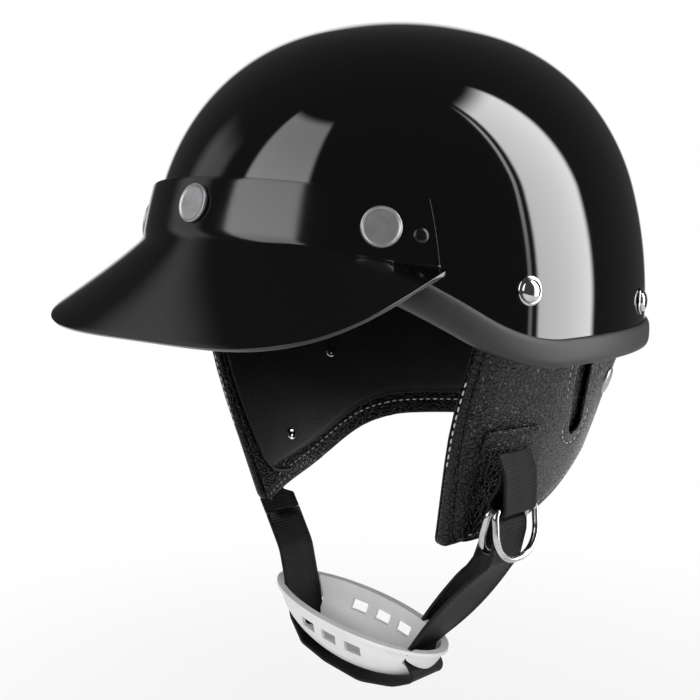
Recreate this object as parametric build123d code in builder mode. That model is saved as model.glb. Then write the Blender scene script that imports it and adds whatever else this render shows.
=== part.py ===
from build123d import *
import os
from math import asin, atan2, cos, pi, radians, sin, sqrt, tan

os.makedirs("parts", exist_ok=True)

# Half shell motorcycle helmet. Millimetres, +Z up, front towards -Y, the wearer's left towards +X.
# The origin is the middle of the head opening, level with the widest line of the shell.

# Shell
shell_length = 278.0
shell_width = 231.0
crown_height = 139.0
shell_wall = 3.2
crown_radius = 195.0        # side view: radius of the crown's arc and of the walls' arcs
shoulder_radius = 110.0     # side view: radius of the arcs between them
wall_drop = 60.0            # straight wall below the widest line, before the rim is cut
seam_gap = 0.12             # clearance between two close curved faces
soft_gap = 0.3              # clearance round the soft pieces
cut_over = 20.0             # overrun of every cutting solid

# Rim line, seen from the side
brow_rim_height = 18.0      # lower edge of the trim at the brow, above the widest line
ear_rim_drop = 21.5         # lower edge of the trim at the ears, below it
brow_corner = 110.0         # how far forward the level brow ends
ear_corner = 48.5           # how far forward the level ear line starts
brow_round = 50.0
ear_round = 95.0

# Rubber edge trim
trim_height = 12.5
trim_web = 3.0              # rubber under the shell's edge
trim_proud = 2.8
trim_inner_leg = 2.2

# Foam liner and comfort pads
foam_wall = 20.0
pad_wall = 6.0
crown_pad_level = 62.0      # lower edge of the crown pad
band_height = 30.0          # sweatband, upwards from the foam's edge

# Shell rivets
rivet_head_radius = 5.2
rivet_head_height = 2.2
rivet_shank_radius = 2.0
rivet_washer_radius = 6.6
rivet_washer_wall = 0.9
burr_radius = 5.0
burr_wall = 1.0
front_rivet_place = 42.4    # forward of the middle
front_rivet_height = 13.2
back_rivet_place = 55.3     # behind the middle
back_rivet_height = 2.3

# Peak: a band that hugs the shell and a brim that runs out from its lower edge
peak_gap = 2.2              # between shell and band
peak_wall = 2.0
band_front_top = 64.0       # height of the band's upper edge at the front
band_front_crease = 38.5    # height of the crease at the front
band_end_margin = 6.0       # the band ends this far behind its end rivets
band_end_top = 52.0
band_end_crease = 23.5
brim_reach = 29.5           # how far the brim reaches beyond the shell's front
brim_side_inset = 15.0      # the brim's ends, inside the shell's half width
brim_end_step = 4.0         # and in front of the band's end
brim_front_drop = 6.5      # brim's edge at the front, below the widest line
brim_end_height = 22.5      # brim's edge at its ends
brim_square = 4.0           # how square the brim's outline is, 2 is a plain ellipse
brim_sections = 13

# Snaps of the peak
cap_radius = 8.7
cap_wall = 1.7
cap_chamfer = 0.5
socket_radius = 6.4
socket_bore = 4.6
socket_wall = 1.1
stud_radius = 2.0
stud_height = 1.5
stud_foot_radius = 3.4
stud_foot_wall = 0.5
side_snap_height = 41.0
side_snap_angle = 42.5      # degrees round from the front, before the helmet is narrowed
front_snap_height = 50.5
end_rivet_radius = 3.9
end_rivet_height = 1.1
end_rivet_gap = 5.36        # between a side cap's edge and the end rivet's, round the band
end_rivet_level = 37.5

# Leather skirt: two ear flaps joined by a nape curtain, on a wall that leans inwards
skirt_inset = 7.8           # from the shell's outer face, at skirt_top_level
skirt_top_level = -8.0
skirt_lean = 0.38           # inwards for each length downwards, a share of the drop
leather_wall = 1.8
skirt_padding = 7.6
lining_wall = 1.5
flap_front = 58.0           # front edge of the ear flap, forward of the middle
flap_front_mid = 59.5
flap_front_mid_level = 48.0
flap_tip = 48.5
flap_tip_drop = 111.0
flap_tip_round = 5.0
flap_belly = 6.0            # lower edge below the ear, behind the middle
flap_belly_drop = 100.0
nape_start = 58.0
nape_drop = 76.5
nape_end_drop = 74.0
flap_front_round = 200.0
flap_belly_round = 150.0
nape_round = 100.0
skirt_seam = 66.0           # seam between ear flap and nape curtain, behind the middle
skirt_tuck = 10.0           # how far the skirt runs up behind the trim, from its lower edge
binding_width = 11.5
pocket_depth = 15.0         # the padding stops this far above the hem
ear_slot_length = 42.0
ear_slot_width = 13.0
ear_slot_place = 15.0       # behind the middle
ear_slot_level = -40.0
ear_slot_lean = 17.0        # degrees
flap_cap_radius = 6.9
flap_cap_wall = 1.2
flap_cap_place = 48.7
flap_cap_level = -37.7
lining_snap_radius = 3.4
lining_snap_wall = 1.3
upper_lining_snap_place = 35.0
upper_lining_snap_level = -38.0
lower_lining_snap_place = -12.0
lower_lining_snap_level = -80.0

# Chin strap
strap_width = 24.0
strap_wall = 1.8
strap_place = 29.0          # middle of the strap, forward of the middle
strap_gap = 0.8             # room round the strap in the cup's slots
patch_width = 30.0
patch_height = 10.0
patch_level = -61.0         # lower edge of the patch
patch_wall = 1.4
web_start_gap = 3.95        # the ring webbing leaves the leather here, this far outside it
web_start_level = -61.8
web_hang_gap = 4.3          # and hangs this much farther out
web_hang_level = -71.0
web_fold_level = -89.8
web_fold_in = 8.9           # the next lengths run inwards from the hanging webbing's middle
web_fold_round = 3.2
web_back_level = -84.0
web_inner_in = 2.9          # the webbing's second layer, where it meets the first
web_inner_level = -75.0
web_inner_top = -69.5
ring_wire = 1.6             # radius of the ring's wire
ring_inner_width = 27.0
ring_depth = 24.0           # from the bar's middle to the round side's middle
outer_ring_in = 2.7
ring_level = -87.0
outer_ring_swing = 4.0      # degrees, its round side away from the cheek
inner_ring_in = 6.1
inner_ring_swing = 17.0     # degrees, its round side towards the cheek
hem_web_depth = 4.75        # inside the leather's outer face
hem_web_top = -97.0
hem_tab_width = 12.0        # the web narrows to a tab where it is sewn into the flap
hem_shoulder_level = -111.0 # and is full width below the hem
hem_bend_level = -106.0
strap_join_in = 10.5        # where the hem's web passes into the chin strap
strap_join_level = -118.0
strap_sag_share = 0.42      # way down from there to the cup
strap_sag = 3.5             # inwards from the straight way
strap_fold_in = 8.9         # middle of the strap's fold inside the rings
strap_fold_level = -96.5
strap_fold_radius = 3.6
outer_bend_level = -114.0   # below the rings both layers turn towards the cup
inner_bend_drop = 3.5       # the inner layer's bend, along the outer layer and away from it
inner_bend_gap = 7.6
tail_share = 0.69           # how far down to the cup the free end hangs
tail_gap = 3.95             # middle of the free end to the middle of the layer below it
strap_round = 12.0
strap_web_round = 4.0
strap_fold_round = 3.4
strap_join_gap = 0.3

# Chin cup, a shallow boat tilted as it hangs
cup_length = 110.0
cup_width = 46.0
cup_depth = 28.0
cup_wall = 1.8
cup_lip = 2.2
cup_lip_wall = 1.8
cup_out = -4.0
cup_level = -160.0
cup_tilt = 8.0              # degrees, the wearer's right end higher
cup_hole_width = 10.0
cup_hole_height = 5.5
cup_hole_step = 16.0
cup_hole_drop = 10.0
cup_holes = 3
# the strap's way through the cup, as shares of the half length and of the depth
strap_in_share = (-0.75, -0.2)
strap_left_share = (-0.68, -0.6)
strap_under_share = ((-0.5, -0.97), (-0.18, -1.08), (0.28, -1.08), (0.68, -0.84), (0.93, -0.53))
strap_out_share = (0.76, -0.2)

half_length = shell_length / 2
half_width = shell_width / 2
strap_y = -strap_place


# The helmet is turned round, then narrowed to its width. Every dome is a true offset of the
# shell's outer face: three arcs that meet smoothly, `inset` inside it.
narrow = shell_width / shell_length
crown_center = Vector(0, crown_height - crown_radius)
wall_center = Vector(half_length - crown_radius, 0)
half_gap = (crown_center - wall_center).length / 2
shoulder_center = (crown_center + wall_center) / 2 + Vector(1, 1).normalized() * sqrt(
    (crown_radius - shoulder_radius) ** 2 - half_gap**2
)
crown_way = (shoulder_center - crown_center).normalized()
wall_way = (shoulder_center - wall_center).normalized()
shoulder_way = (crown_way + wall_way).normalized()


def dome_line(inset):
    """The dome's half outline: its points from the wall to the crown, in pairs of an arc's end and middle."""
    wall, shoulder = crown_radius - inset, shoulder_radius - inset
    low = wall_center + wall_way * wall
    high = crown_center + crown_way * wall
    return [
        wall_center + Vector(wall, 0),
        wall_center + (wall_way + Vector(1, 0)).normalized() * wall,
        low,
        shoulder_center + shoulder_way * shoulder,
        high,
        crown_center + (crown_way + Vector(0, 1)).normalized() * wall,
        crown_center + Vector(0, wall),
    ]


def dome_shell(outer, inner):
    """The space between two domes, before the helmet is narrowed."""
    a, b = dome_line(outer), dome_line(inner)
    with BuildPart() as body:
        with BuildSketch(Plane.XZ):
            with BuildLine():
                for line in (a, b):
                    ThreePointArc(line[0], line[1], line[2])
                    ThreePointArc(line[2], line[3], line[4])
                    ThreePointArc(line[4], line[5], line[6])
                Polyline(a[0], (half_length - outer, -wall_drop), (half_length - inner, -wall_drop), b[0])
                Line(a[6], b[6])
            make_face()
        revolve(axis=Axis.Z)
    return body.part


# The rim line, `up` above the trim's lower edge, as the outline of all that lies below it
rim_slope = atan2(brow_rim_height + ear_rim_drop, brow_corner - ear_corner)


def below_rim(up):
    shift = up * tan(rim_slope / 2)
    reach = half_length + cut_over
    floor = -flap_tip_drop - cut_over
    with BuildPart() as body:
        with BuildSketch(Plane.YZ):
            with BuildLine():
                line = FilletPolyline(
                    (-reach, brow_rim_height + up),
                    (-brow_corner + shift, brow_rim_height + up),
                    (-ear_corner + shift, -ear_rim_drop + up),
                    (reach, -ear_rim_drop + up),
                    radius=[brow_round + up, ear_round - up],
                )
                Polyline(line @ 1, (reach, floor), (-reach, floor), line @ 0)
            make_face()
        extrude(amount=reach, both=True)
    return body.part


# A place on the narrowed dome that lies `outset` outside the shell's outer face: the angle runs round
# from the front, positive to the wearer's left
def dome_reach(level, outset):
    """Radius of the dome at a level, before it is narrowed, and its outward slope there."""
    line = dome_line(-outset)
    center, radius = (wall_center, crown_radius) if level < line[2].Y else (shoulder_center, shoulder_radius)
    rise = max(level, 0) - center.Y
    run = sqrt((radius + outset) ** 2 - rise**2)
    return center.X + run, Vector(run, rise).normalized()


def on_round_dome(angle, level, outset):
    reach, out = dome_reach(level, outset)
    return Plane(
        origin=(reach * sin(angle), -reach * cos(angle), level),
        z_dir=(out.X * sin(angle), -out.X * cos(angle), out.Y),
    )


def on_dome(angle, level, outset):
    seat = on_round_dome(angle, level, outset)
    spot, out = seat.origin, seat.z_dir
    way = Vector(out.X / narrow, out.Y, out.Z).normalized()
    side = Vector(0, 0, 1).cross(way).normalized()
    return Plane(origin=(spot.X * narrow, spot.Y, spot.Z), x_dir=side, z_dir=way)


def dome_angle(place, level):
    """The angle of a place this far forward (negative) or back (positive) of the middle."""
    return pi / 2 + asin(place / dome_reach(level, 0)[0])


# Rivet places on the shell, as pairs of angle and level
rivet_places = []
for place, level in (
    (-front_rivet_place, front_rivet_height),
    (back_rivet_place, back_rivet_height),
):
    angle = dome_angle(place, level)
    rivet_places += [(angle, level), (-angle, level)]
burr_seat = burr_radius**2 / shell_width + seam_gap
shank_depth = shell_wall + burr_seat + burr_wall


def round_bores(radius, depth):
    """Bores square to the dome at the rivets, from outside to a depth."""
    inset = depth / narrow
    with BuildPart() as body:
        for angle, level in rivet_places:
            with BuildSketch(on_round_dome(angle, level, 0).offset(-inset)):
                Circle(radius / narrow)
            extrude(amount=inset + cut_over)
    return body.part


# Hard shell
with BuildPart() as outer_shell:
    add(dome_shell(0, shell_wall))
    add(below_rim(trim_web), mode=Mode.SUBTRACT)
    add(round_bores(rivet_shank_radius + seam_gap, cut_over), mode=Mode.SUBTRACT)
    scale(by=(narrow, 1, 1))

# Rubber trim: a channel over the shell's edge
with BuildPart() as edge_space:
    add(dome_shell(-seam_gap, shell_wall + seam_gap))
    add(below_rim(trim_web - seam_gap), mode=Mode.SUBTRACT)
with BuildPart() as edge_trim:
    add(dome_shell(-trim_proud, shell_wall + seam_gap + trim_inner_leg))
    add(below_rim(trim_height), mode=Mode.INTERSECT)
    add(below_rim(0), mode=Mode.SUBTRACT)
    add(edge_space.part, mode=Mode.SUBTRACT)
    scale(by=(narrow, 1, 1))

# Foam liner, from the trim's upper edge upwards
foam_outer = shell_wall + soft_gap
foam_inner = foam_outer + foam_wall
with BuildPart() as foam_liner:
    add(dome_shell(foam_outer, foam_inner))
    add(below_rim(trim_height + soft_gap), mode=Mode.SUBTRACT)
    add(
        round_bores(burr_radius + 2 * soft_gap, shank_depth + soft_gap),
        mode=Mode.SUBTRACT,
    )
    scale(by=(narrow, 1, 1))

# Comfort pads inside the foam
pad_outer = foam_inner + soft_gap
pad_inner = pad_outer + pad_wall
level_reach = shell_length + cut_over
with BuildPart() as crown_pad:
    add(dome_shell(pad_outer, pad_inner))
    with BuildSketch(Plane.XY.offset(crown_pad_level)):
        Rectangle(level_reach, level_reach)
    extrude(amount=-level_reach, mode=Mode.SUBTRACT)
    scale(by=(narrow, 1, 1))
with BuildPart() as sweatband:
    add(dome_shell(pad_outer, pad_inner))
    add(below_rim(trim_height + band_height), mode=Mode.INTERSECT)
    add(below_rim(trim_height + soft_gap), mode=Mode.SUBTRACT)
    scale(by=(narrow, 1, 1))

# Shell rivets, with a washer outside and a burr inside
rivet_planes = [on_dome(angle, level, 0) for angle, level in rivet_places]
washer_top = seam_gap + rivet_washer_wall
with BuildPart() as shell_rivets:
    for plane in rivet_planes:
        with BuildSketch(plane.offset(washer_top)):
            Circle(rivet_head_radius)
        head = extrude(amount=rivet_head_height)
        fillet(
            head.faces().sort_by(Axis(plane.origin, plane.z_dir))[-1].edges(),
            radius=rivet_head_height - seam_gap,
        )
        with BuildSketch(plane.offset(washer_top)):
            Circle(rivet_shank_radius)
        extrude(amount=-(washer_top + shank_depth))
with BuildPart() as rivet_washers:
    for plane in rivet_planes:
        with BuildSketch(plane.offset(seam_gap)):
            Circle(rivet_washer_radius)
            Circle(rivet_shank_radius, mode=Mode.SUBTRACT)
        extrude(amount=rivet_washer_wall)
with BuildPart() as rivet_burrs:
    for plane in rivet_planes:
        with BuildSketch(plane.offset(-shell_wall - burr_seat)):
            Circle(burr_radius)
            Circle(rivet_shank_radius + 2 * seam_gap, mode=Mode.SUBTRACT)
        extrude(amount=-burr_wall)

# The peak is one moulding: the band follows the shell, the brim runs out from the band's crease. Its
# end rivets lie clear of the side caps, and the band ends behind them.
band_reach = dome_reach(end_rivet_level, peak_gap + peak_wall)[0]
end_rivet_angle = radians(side_snap_angle) + (cap_radius + end_rivet_radius + end_rivet_gap) / band_reach
band_end_place = band_reach * cos(end_rivet_angle) - band_end_margin
brim_front = half_length + brim_reach
brim_half_width = half_width - brim_side_inset
brim_end_place = band_end_place + brim_end_step
band_front = half_length + peak_gap + peak_wall
crease_fall = (band_front_crease - band_end_crease) / (band_front - band_end_place)
top_fall = (band_front_top - band_end_top) / (band_front - band_end_place)


def crease_level(y):
    return band_end_crease - crease_fall * (y + band_end_place)


def crease_point(angle):
    level = band_front_crease
    for _ in range(9):
        reach = dome_reach(level, peak_gap + peak_wall / 2)[0]
        level = crease_level(-reach * cos(angle))
    return Vector(reach * sin(angle), -reach * cos(angle), level)


def brim_point(turn):
    """The brim's edge, from the wearer's right end over the front to the left end."""
    power = 2 / brim_square
    x = brim_half_width * (1 if turn > 0 else -1) * abs(sin(turn)) ** power
    y = -brim_end_place - (brim_front - brim_end_place) * abs(cos(turn)) ** power
    share = (y + brim_front) / (brim_front - brim_end_place)
    return Vector(x / narrow, y, -brim_front_drop + share * (brim_end_height + brim_front_drop))


def even_points(line, first, last, count):
    """Points at even steps along a line given by a function."""
    steps = 40 * count
    dots = [line(first + (last - first) * i / steps) for i in range(steps + 1)]
    way = [0.0]
    for a, b in zip(dots, dots[1:]):
        way.append(way[-1] + (b - a).length)
    found, k = [], 0
    for i in range(count):
        goal = way[-1] * i / (count - 1)
        while k < steps - 1 and way[k + 1] < goal:
            k += 1
        share = (goal - way[k]) / (way[k + 1] - way[k])
        found.append(dots[k] + (dots[k + 1] - dots[k]) * share)
    return found


crease_end = asin(
    sqrt(1 - (band_end_place / dome_reach(band_end_crease, peak_gap + peak_wall / 2)[0]) ** 2)
)
crease_dots = even_points(crease_point, -crease_end, crease_end, brim_sections)
edge_dots = even_points(brim_point, -pi / 2, pi / 2, brim_sections)
with BuildPart() as brim:
    for i, (root, tip) in enumerate(zip(crease_dots, edge_dots)):
        along = crease_dots[min(i + 1, brim_sections - 1)] - crease_dots[max(i - 1, 0)]
        way = (tip - root).normalized()
        across = (along - way * along.dot(way)).normalized()
        with BuildSketch(Plane(origin=root, x_dir=way, z_dir=across)):
            Rectangle((tip - root).length, peak_wall, align=(Align.MIN, Align.CENTER))
    loft()
with BuildPart() as peak:
    add(dome_shell(-peak_gap - peak_wall, -peak_gap))
    with BuildSketch(Plane.YZ):
        with BuildLine():
            Polyline(
                (-band_end_place, band_end_top),
                (-band_end_place, band_end_crease),
                (-band_front - cut_over, band_front_crease + crease_fall * cut_over),
                (-band_front - cut_over, band_front_top + top_fall * cut_over),
                close=True,
            )
        make_face()
    extrude(amount=half_length + cut_over, both=True, mode=Mode.INTERSECT)
    add(brim.part)
    scale(by=(narrow, 1, 1))

# Snaps: a cap on the band, a socket behind it, a stud on the shell
snap_places = [
    (0, front_snap_height),
    (radians(side_snap_angle), side_snap_height),
    (-radians(side_snap_angle), side_snap_height),
]
with BuildPart() as snap_caps:
    for angle, level in snap_places:
        with BuildSketch(on_dome(angle, level, peak_gap + peak_wall).offset(seam_gap)):
            Circle(cap_radius)
        disc = extrude(amount=cap_wall)
        chamfer(disc.faces().sort_by(Axis((0, 0, level), on_dome(angle, level, 0).z_dir))[-1].edges(), cap_chamfer)
socket_seat = socket_radius**2 / shell_width + seam_gap
with BuildPart() as snap_sockets:
    for angle, level in snap_places:
        with BuildSketch(on_dome(angle, level, peak_gap).offset(-socket_seat)):
            Circle(socket_radius)
            Circle(socket_bore, mode=Mode.SUBTRACT)
        extrude(amount=-socket_wall)
with BuildPart() as snap_studs:
    for angle, level in snap_places:
        with BuildSketch(on_dome(angle, level, 0).offset(seam_gap)):
            Circle(stud_foot_radius)
        extrude(amount=stud_foot_wall)
        with BuildSketch(on_dome(angle, level, 0).offset(seam_gap)):
            Circle(stud_radius)
        extrude(amount=stud_height)
with BuildPart() as peak_rivets:
    for way in (1, -1):
        plane = on_dome(way * end_rivet_angle, end_rivet_level, peak_gap + peak_wall).offset(seam_gap)
        with BuildSketch(plane):
            Circle(end_rivet_radius)
        knob = extrude(amount=end_rivet_height)
        fillet(
            knob.faces().sort_by(Axis(plane.origin, plane.z_dir))[-1].edges(),
            radius=end_rivet_height - seam_gap,
        )


# The leather skirt leans inwards on a cone, before it is narrowed with the shell
def skirt_reach(level):
    return half_length - skirt_inset + (level - skirt_top_level) * skirt_lean


def skirt_shell(outer, inner):
    high, low = brow_rim_height, -flap_tip_drop - flap_tip_round
    with BuildPart() as body:
        with BuildSketch(Plane.XZ):
            with BuildLine():
                Polyline(
                    (skirt_reach(high) - outer, high),
                    (skirt_reach(low) - outer, low),
                    (skirt_reach(low) - inner, low),
                    (skirt_reach(high) - inner, high),
                    close=True,
                )
            make_face()
        revolve(axis=Axis.Z)
    return body.part


def skirt_side(margin):
    """All that lies inside the skirt's outline, seen from the side, by a margin."""
    back, high = half_length + cut_over, brow_rim_height + cut_over + margin
    with BuildPart() as body:
        with BuildSketch(Plane.YZ):
            with BuildLine():
                line = FilletPolyline(
                    (-flap_front, high),
                    (-flap_front_mid, -flap_front_mid_level),
                    (-flap_tip, -flap_tip_drop),
                    (flap_belly, -flap_belly_drop),
                    (nape_start, -nape_drop),
                    (back, -nape_end_drop),
                    radius=[flap_front_round, flap_tip_round, flap_belly_round, nape_round],
                )
                Polyline(line @ 1, (back, high), line @ 0)
            make_face()
            if margin:
                offset(amount=-margin, kind=Kind.INTERSECTION)
        extrude(amount=half_length + cut_over, both=True)
    return body.part


def side_box(front, back, low, high):
    """Everything between two places and two levels, right through the helmet."""
    with BuildPart() as body:
        with BuildSketch(Plane.YZ):
            with Locations(((front + back) / 2, (low + high) / 2)):
                Rectangle(back - front, high - low)
        extrude(amount=half_length + cut_over, both=True)
    return body.part


leather_layer = (0, leather_wall)
padding_layer = (leather_wall + soft_gap, leather_wall + soft_gap + skirt_padding)
lining_layer = (padding_layer[1] + soft_gap, padding_layer[1] + soft_gap + lining_wall)
skirt_top, skirt_floor = brow_rim_height, -flap_tip_drop - cut_over
full_reach = half_length + cut_over
ear_box = side_box(-full_reach, skirt_seam - soft_gap / 2, skirt_floor, skirt_top)
nape_box = side_box(skirt_seam + soft_gap / 2, full_reach, skirt_floor, skirt_top)
pocket_box = side_box(
    -strap_place - strap_width / 2 - strap_gap,
    -strap_place + strap_width / 2 + strap_gap,
    skirt_floor,
    hem_web_top + strap_gap,
)
padding_margin = 3 * leather_wall


def skirt_piece(layer, margin, box, tuck):
    with BuildPart() as body:
        add(skirt_shell(*layer))
        add(skirt_side(margin), mode=Mode.INTERSECT)
        add(below_rim(tuck), mode=Mode.INTERSECT)
        add(box, mode=Mode.INTERSECT)
    return body.part


with BuildPart() as ear_slot:
    with BuildSketch(Plane.YZ):
        with Locations(Location((ear_slot_place, ear_slot_level, 0), (0, 0, 90 + ear_slot_lean))):
            SlotOverall(ear_slot_length, ear_slot_width)
    extrude(amount=full_reach)

# Left ear flap, from the outside inwards
with BuildPart() as left_ear_leather:
    add(skirt_piece(leather_layer, 0, ear_box, skirt_tuck))
    split(bisect_by=Plane.YZ, keep=Keep.TOP)
    add(ear_slot.part, mode=Mode.SUBTRACT)
    scale(by=(narrow, 1, 1))
with BuildPart() as left_ear_padding:
    add(skirt_piece(padding_layer, padding_margin, ear_box, skirt_tuck - leather_wall))
    split(bisect_by=Plane.YZ, keep=Keep.TOP)
    add(pocket_box, mode=Mode.SUBTRACT)
    scale(by=(narrow, 1, 1))
with BuildPart() as left_ear_lining:
    add(skirt_piece(lining_layer, binding_width + soft_gap, ear_box, skirt_tuck))
    split(bisect_by=Plane.YZ, keep=Keep.TOP)
    scale(by=(narrow, 1, 1))
with BuildPart() as left_ear_binding:
    add(skirt_piece(lining_layer, 0, ear_box, skirt_tuck))
    split(bisect_by=Plane.YZ, keep=Keep.TOP)
    add(skirt_side(binding_width), mode=Mode.SUBTRACT)
    scale(by=(narrow, 1, 1))

# Nape curtain, the same layers round the back
with BuildPart() as nape_leather:
    add(skirt_piece(leather_layer, 0, nape_box, skirt_tuck))
    scale(by=(narrow, 1, 1))
with BuildPart() as nape_padding:
    add(skirt_piece(padding_layer, padding_margin, nape_box, skirt_tuck - leather_wall))
    scale(by=(narrow, 1, 1))
with BuildPart() as nape_lining:
    add(skirt_piece(lining_layer, binding_width + soft_gap, nape_box, skirt_tuck))
    scale(by=(narrow, 1, 1))
with BuildPart() as nape_binding:
    add(skirt_piece(lining_layer, 0, nape_box, skirt_tuck))
    add(skirt_side(binding_width), mode=Mode.SUBTRACT)
    scale(by=(narrow, 1, 1))


# A place on the narrowed skirt, `depth` inside its outer face
def on_skirt(place, level, depth):
    reach = skirt_reach(level) - depth
    x = sqrt(reach**2 - place**2)
    way = Vector(x / narrow, place, -reach * skirt_lean).normalized()
    side = Vector(0, 0, 1).cross(way).normalized()
    return Plane(origin=(x * narrow, place, level), x_dir=side, z_dir=way)


with BuildPart() as left_flap_cap:
    plane = on_skirt(flap_cap_place, flap_cap_level, 0).offset(seam_gap)
    with BuildSketch(plane):
        Circle(flap_cap_radius)
    disc = extrude(amount=flap_cap_wall)
    chamfer(disc.faces().sort_by(Axis(plane.origin, plane.z_dir))[-1].edges(), cap_chamfer)
lining_seat = lining_snap_radius**2 / shell_width + soft_gap
with BuildPart() as left_lining_snaps:
    for place, level in (
        (upper_lining_snap_place, upper_lining_snap_level),
        (lower_lining_snap_place, lower_lining_snap_level),
    ):
        with BuildSketch(on_skirt(place, level, lining_layer[1]).offset(-lining_seat)):
            Circle(lining_snap_radius)
        extrude(amount=-lining_snap_wall)
with BuildPart() as left_strap_patch:
    add(skirt_shell(-seam_gap - patch_wall, -seam_gap))
    add(
        side_box(
            -strap_place - patch_width / 2,
            -strap_place + patch_width / 2,
            patch_level,
            patch_level + patch_height,
        ),
        mode=Mode.INTERSECT,
    )
    split(bisect_by=Plane.YZ, keep=Keep.TOP)
    scale(by=(narrow, 1, 1))


# Straps: flat webbing drawn edge-on as lines in the plane of its middle, (outward, upward). Their
# places follow the leather's outer face.
strap_plane = Plane.XZ.offset(strap_place)


def cheek_out(level):
    return narrow * sqrt(skirt_reach(level) ** 2 - strap_place**2)


web_start_out = cheek_out(web_start_level) + web_start_gap
web_out = web_start_out + web_hang_gap
web_fold_out = web_out - web_fold_in
web_inner_out = web_out - web_inner_in
strap_fold_out = web_out - strap_fold_in
hem_web_out = cheek_out(hem_web_top) - hem_web_depth
hem_bend_out = cheek_out(hem_bend_level) - hem_web_depth
strap_join_out = hem_web_out - strap_join_in


def webbing_edge(points, rounds, out):
    """One face of a strap, seen edge-on: the line `out` to the left of its middle, with its radii."""
    dots = [Vector(*point) for point in points]
    ways = [(b - a).normalized() for a, b in zip(dots, dots[1:])]
    lefts = [Vector(-way.Y, way.X) for way in ways]
    edge, radii = [dots[0] + lefts[0] * out], []
    for k, radius in enumerate(rounds):
        middle = (lefts[k] + lefts[k + 1]).normalized()
        edge.append(dots[k + 1] + middle * (out / middle.dot(lefts[k])))
        turns_left = ways[k].cross(ways[k + 1]).Z > 0
        radii.append(radius - out if turns_left else radius + out)
    edge.append(dots[-1] + lefts[-1] * out)
    return [(dot.X, dot.Y) for dot in edge], radii


def webbing(points, rounds, wall, width):
    with BuildPart() as body:
        with BuildSketch(strap_plane):
            with BuildLine():
                ends = []
                for out in (wall / 2, -wall / 2):
                    edge, radii = webbing_edge(points, rounds, out)
                    line = FilletPolyline(*edge, radius=radii) if radii else Line(*edge)
                    ends.append((line @ 0, line @ 1))
                Line(ends[0][0], ends[1][0])
                Line(ends[0][1], ends[1][1])
            make_face()
        extrude(amount=width / 2, both=True)
    return body.part


with BuildPart() as ring_webbing:
    add(
        webbing(
            [
                (web_start_out, web_start_level),
                (web_out, web_hang_level),
                (web_out, web_fold_level),
                (web_fold_out, web_fold_level),
                (web_fold_out, web_back_level),
                (web_inner_out, web_inner_level),
                (web_inner_out, web_inner_top),
            ],
            [strap_round, web_fold_round, web_fold_round, web_fold_round, strap_round],
            strap_wall,
            strap_width,
        )
    )


# A D-ring: a straight bar in the webbing's fold and a round side that hangs below it
def d_ring(out, level, swing):
    half = ring_inner_width / 2 + ring_wire
    turn = radians(swing)
    plane = Plane(
        origin=(out, -strap_place, level), x_dir=(0, 1, 0), z_dir=(cos(turn), 0, -sin(turn))
    )
    side = half - ring_wire
    with BuildPart() as body:
        with BuildLine(plane) as path:
            right_side = FilletPolyline(
                (0, 0), (half, 0), (half, -ring_depth), (0, -ring_depth), radius=[2 * ring_wire, side]
            )
            FilletPolyline(
                (0, -ring_depth), (-half, -ring_depth), (-half, 0), (0, 0), radius=[side, 2 * ring_wire]
            )
        with BuildSketch(Plane(origin=right_side @ 0, z_dir=right_side % 0)):
            Circle(ring_wire)
        sweep(path=path.wires()[0])
    return body.part


with BuildPart() as outer_ring:
    add(d_ring(web_out - outer_ring_in, ring_level, -outer_ring_swing))
with BuildPart() as inner_ring:
    add(d_ring(web_out - inner_ring_in, ring_level, inner_ring_swing))

# Chin cup, and the strap's way through it
tilt = radians(cup_tilt)
cup_plane = Plane(
    origin=(cup_out, -strap_place, cup_level),
    x_dir=(cos(tilt), 0, -sin(tilt)),
    z_dir=(sin(tilt), 0, cos(tilt)),
)


def cup_dot(share):
    spot = cup_plane.from_local_coords(
        Vector(share[0] * cup_length / 2, 0, share[1] * cup_depth)
    )
    return (spot.X, spot.Z)


join, way_in = Vector(-strap_join_out, strap_join_level), Vector(*cup_dot(strap_in_share))
sag = join + (way_in - join) * strap_sag_share + Vector(strap_sag, 0)
outer_bend, way_out = Vector(strap_fold_out, outer_bend_level), Vector(*cup_dot(strap_out_share))
fall = (way_out - outer_bend).normalized()
off = Vector(fall.Y, -fall.X)
inner_bend = outer_bend + fall * inner_bend_drop + off * inner_bend_gap
tail_end = outer_bend + (way_out - outer_bend) * tail_share + off * tail_gap
strap_line = [
    (join.X, join.Y),
    (sag.X, sag.Y),
    cup_dot(strap_in_share),
    cup_dot(strap_left_share),
    *[cup_dot(share) for share in strap_under_share],
    cup_dot(strap_out_share),
    (outer_bend.X, outer_bend.Y),
    (strap_fold_out + strap_fold_radius, strap_fold_level - strap_fold_radius),
    (strap_fold_out + strap_fold_radius, strap_fold_level + strap_fold_radius),
    (strap_fold_out - strap_fold_radius, strap_fold_level + strap_fold_radius),
    (strap_fold_out - strap_fold_radius, strap_fold_level - strap_fold_radius),
    (inner_bend.X, inner_bend.Y),
    (tail_end.X, tail_end.Y),
]
strap_rounds = [
    2 * strap_round, strap_round, strap_web_round, strap_web_round, 2 * strap_round, 2 * strap_round,
    2 * strap_round, strap_web_round, strap_web_round, strap_web_round, strap_round,
    strap_fold_round, strap_fold_round, strap_round, strap_web_round,
]
with BuildPart() as chin_strap:
    add(webbing(strap_line, strap_rounds, strap_wall, strap_width))
hem_slope = (hem_bend_out - strap_join_out) / (hem_bend_level - strap_join_level)
hem_join = (-strap_join_out - hem_slope * strap_join_gap, strap_join_level + strap_join_gap)
hem_shoulder = (
    -strap_join_out - hem_slope * (hem_shoulder_level - strap_join_level),
    hem_shoulder_level,
)
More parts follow.
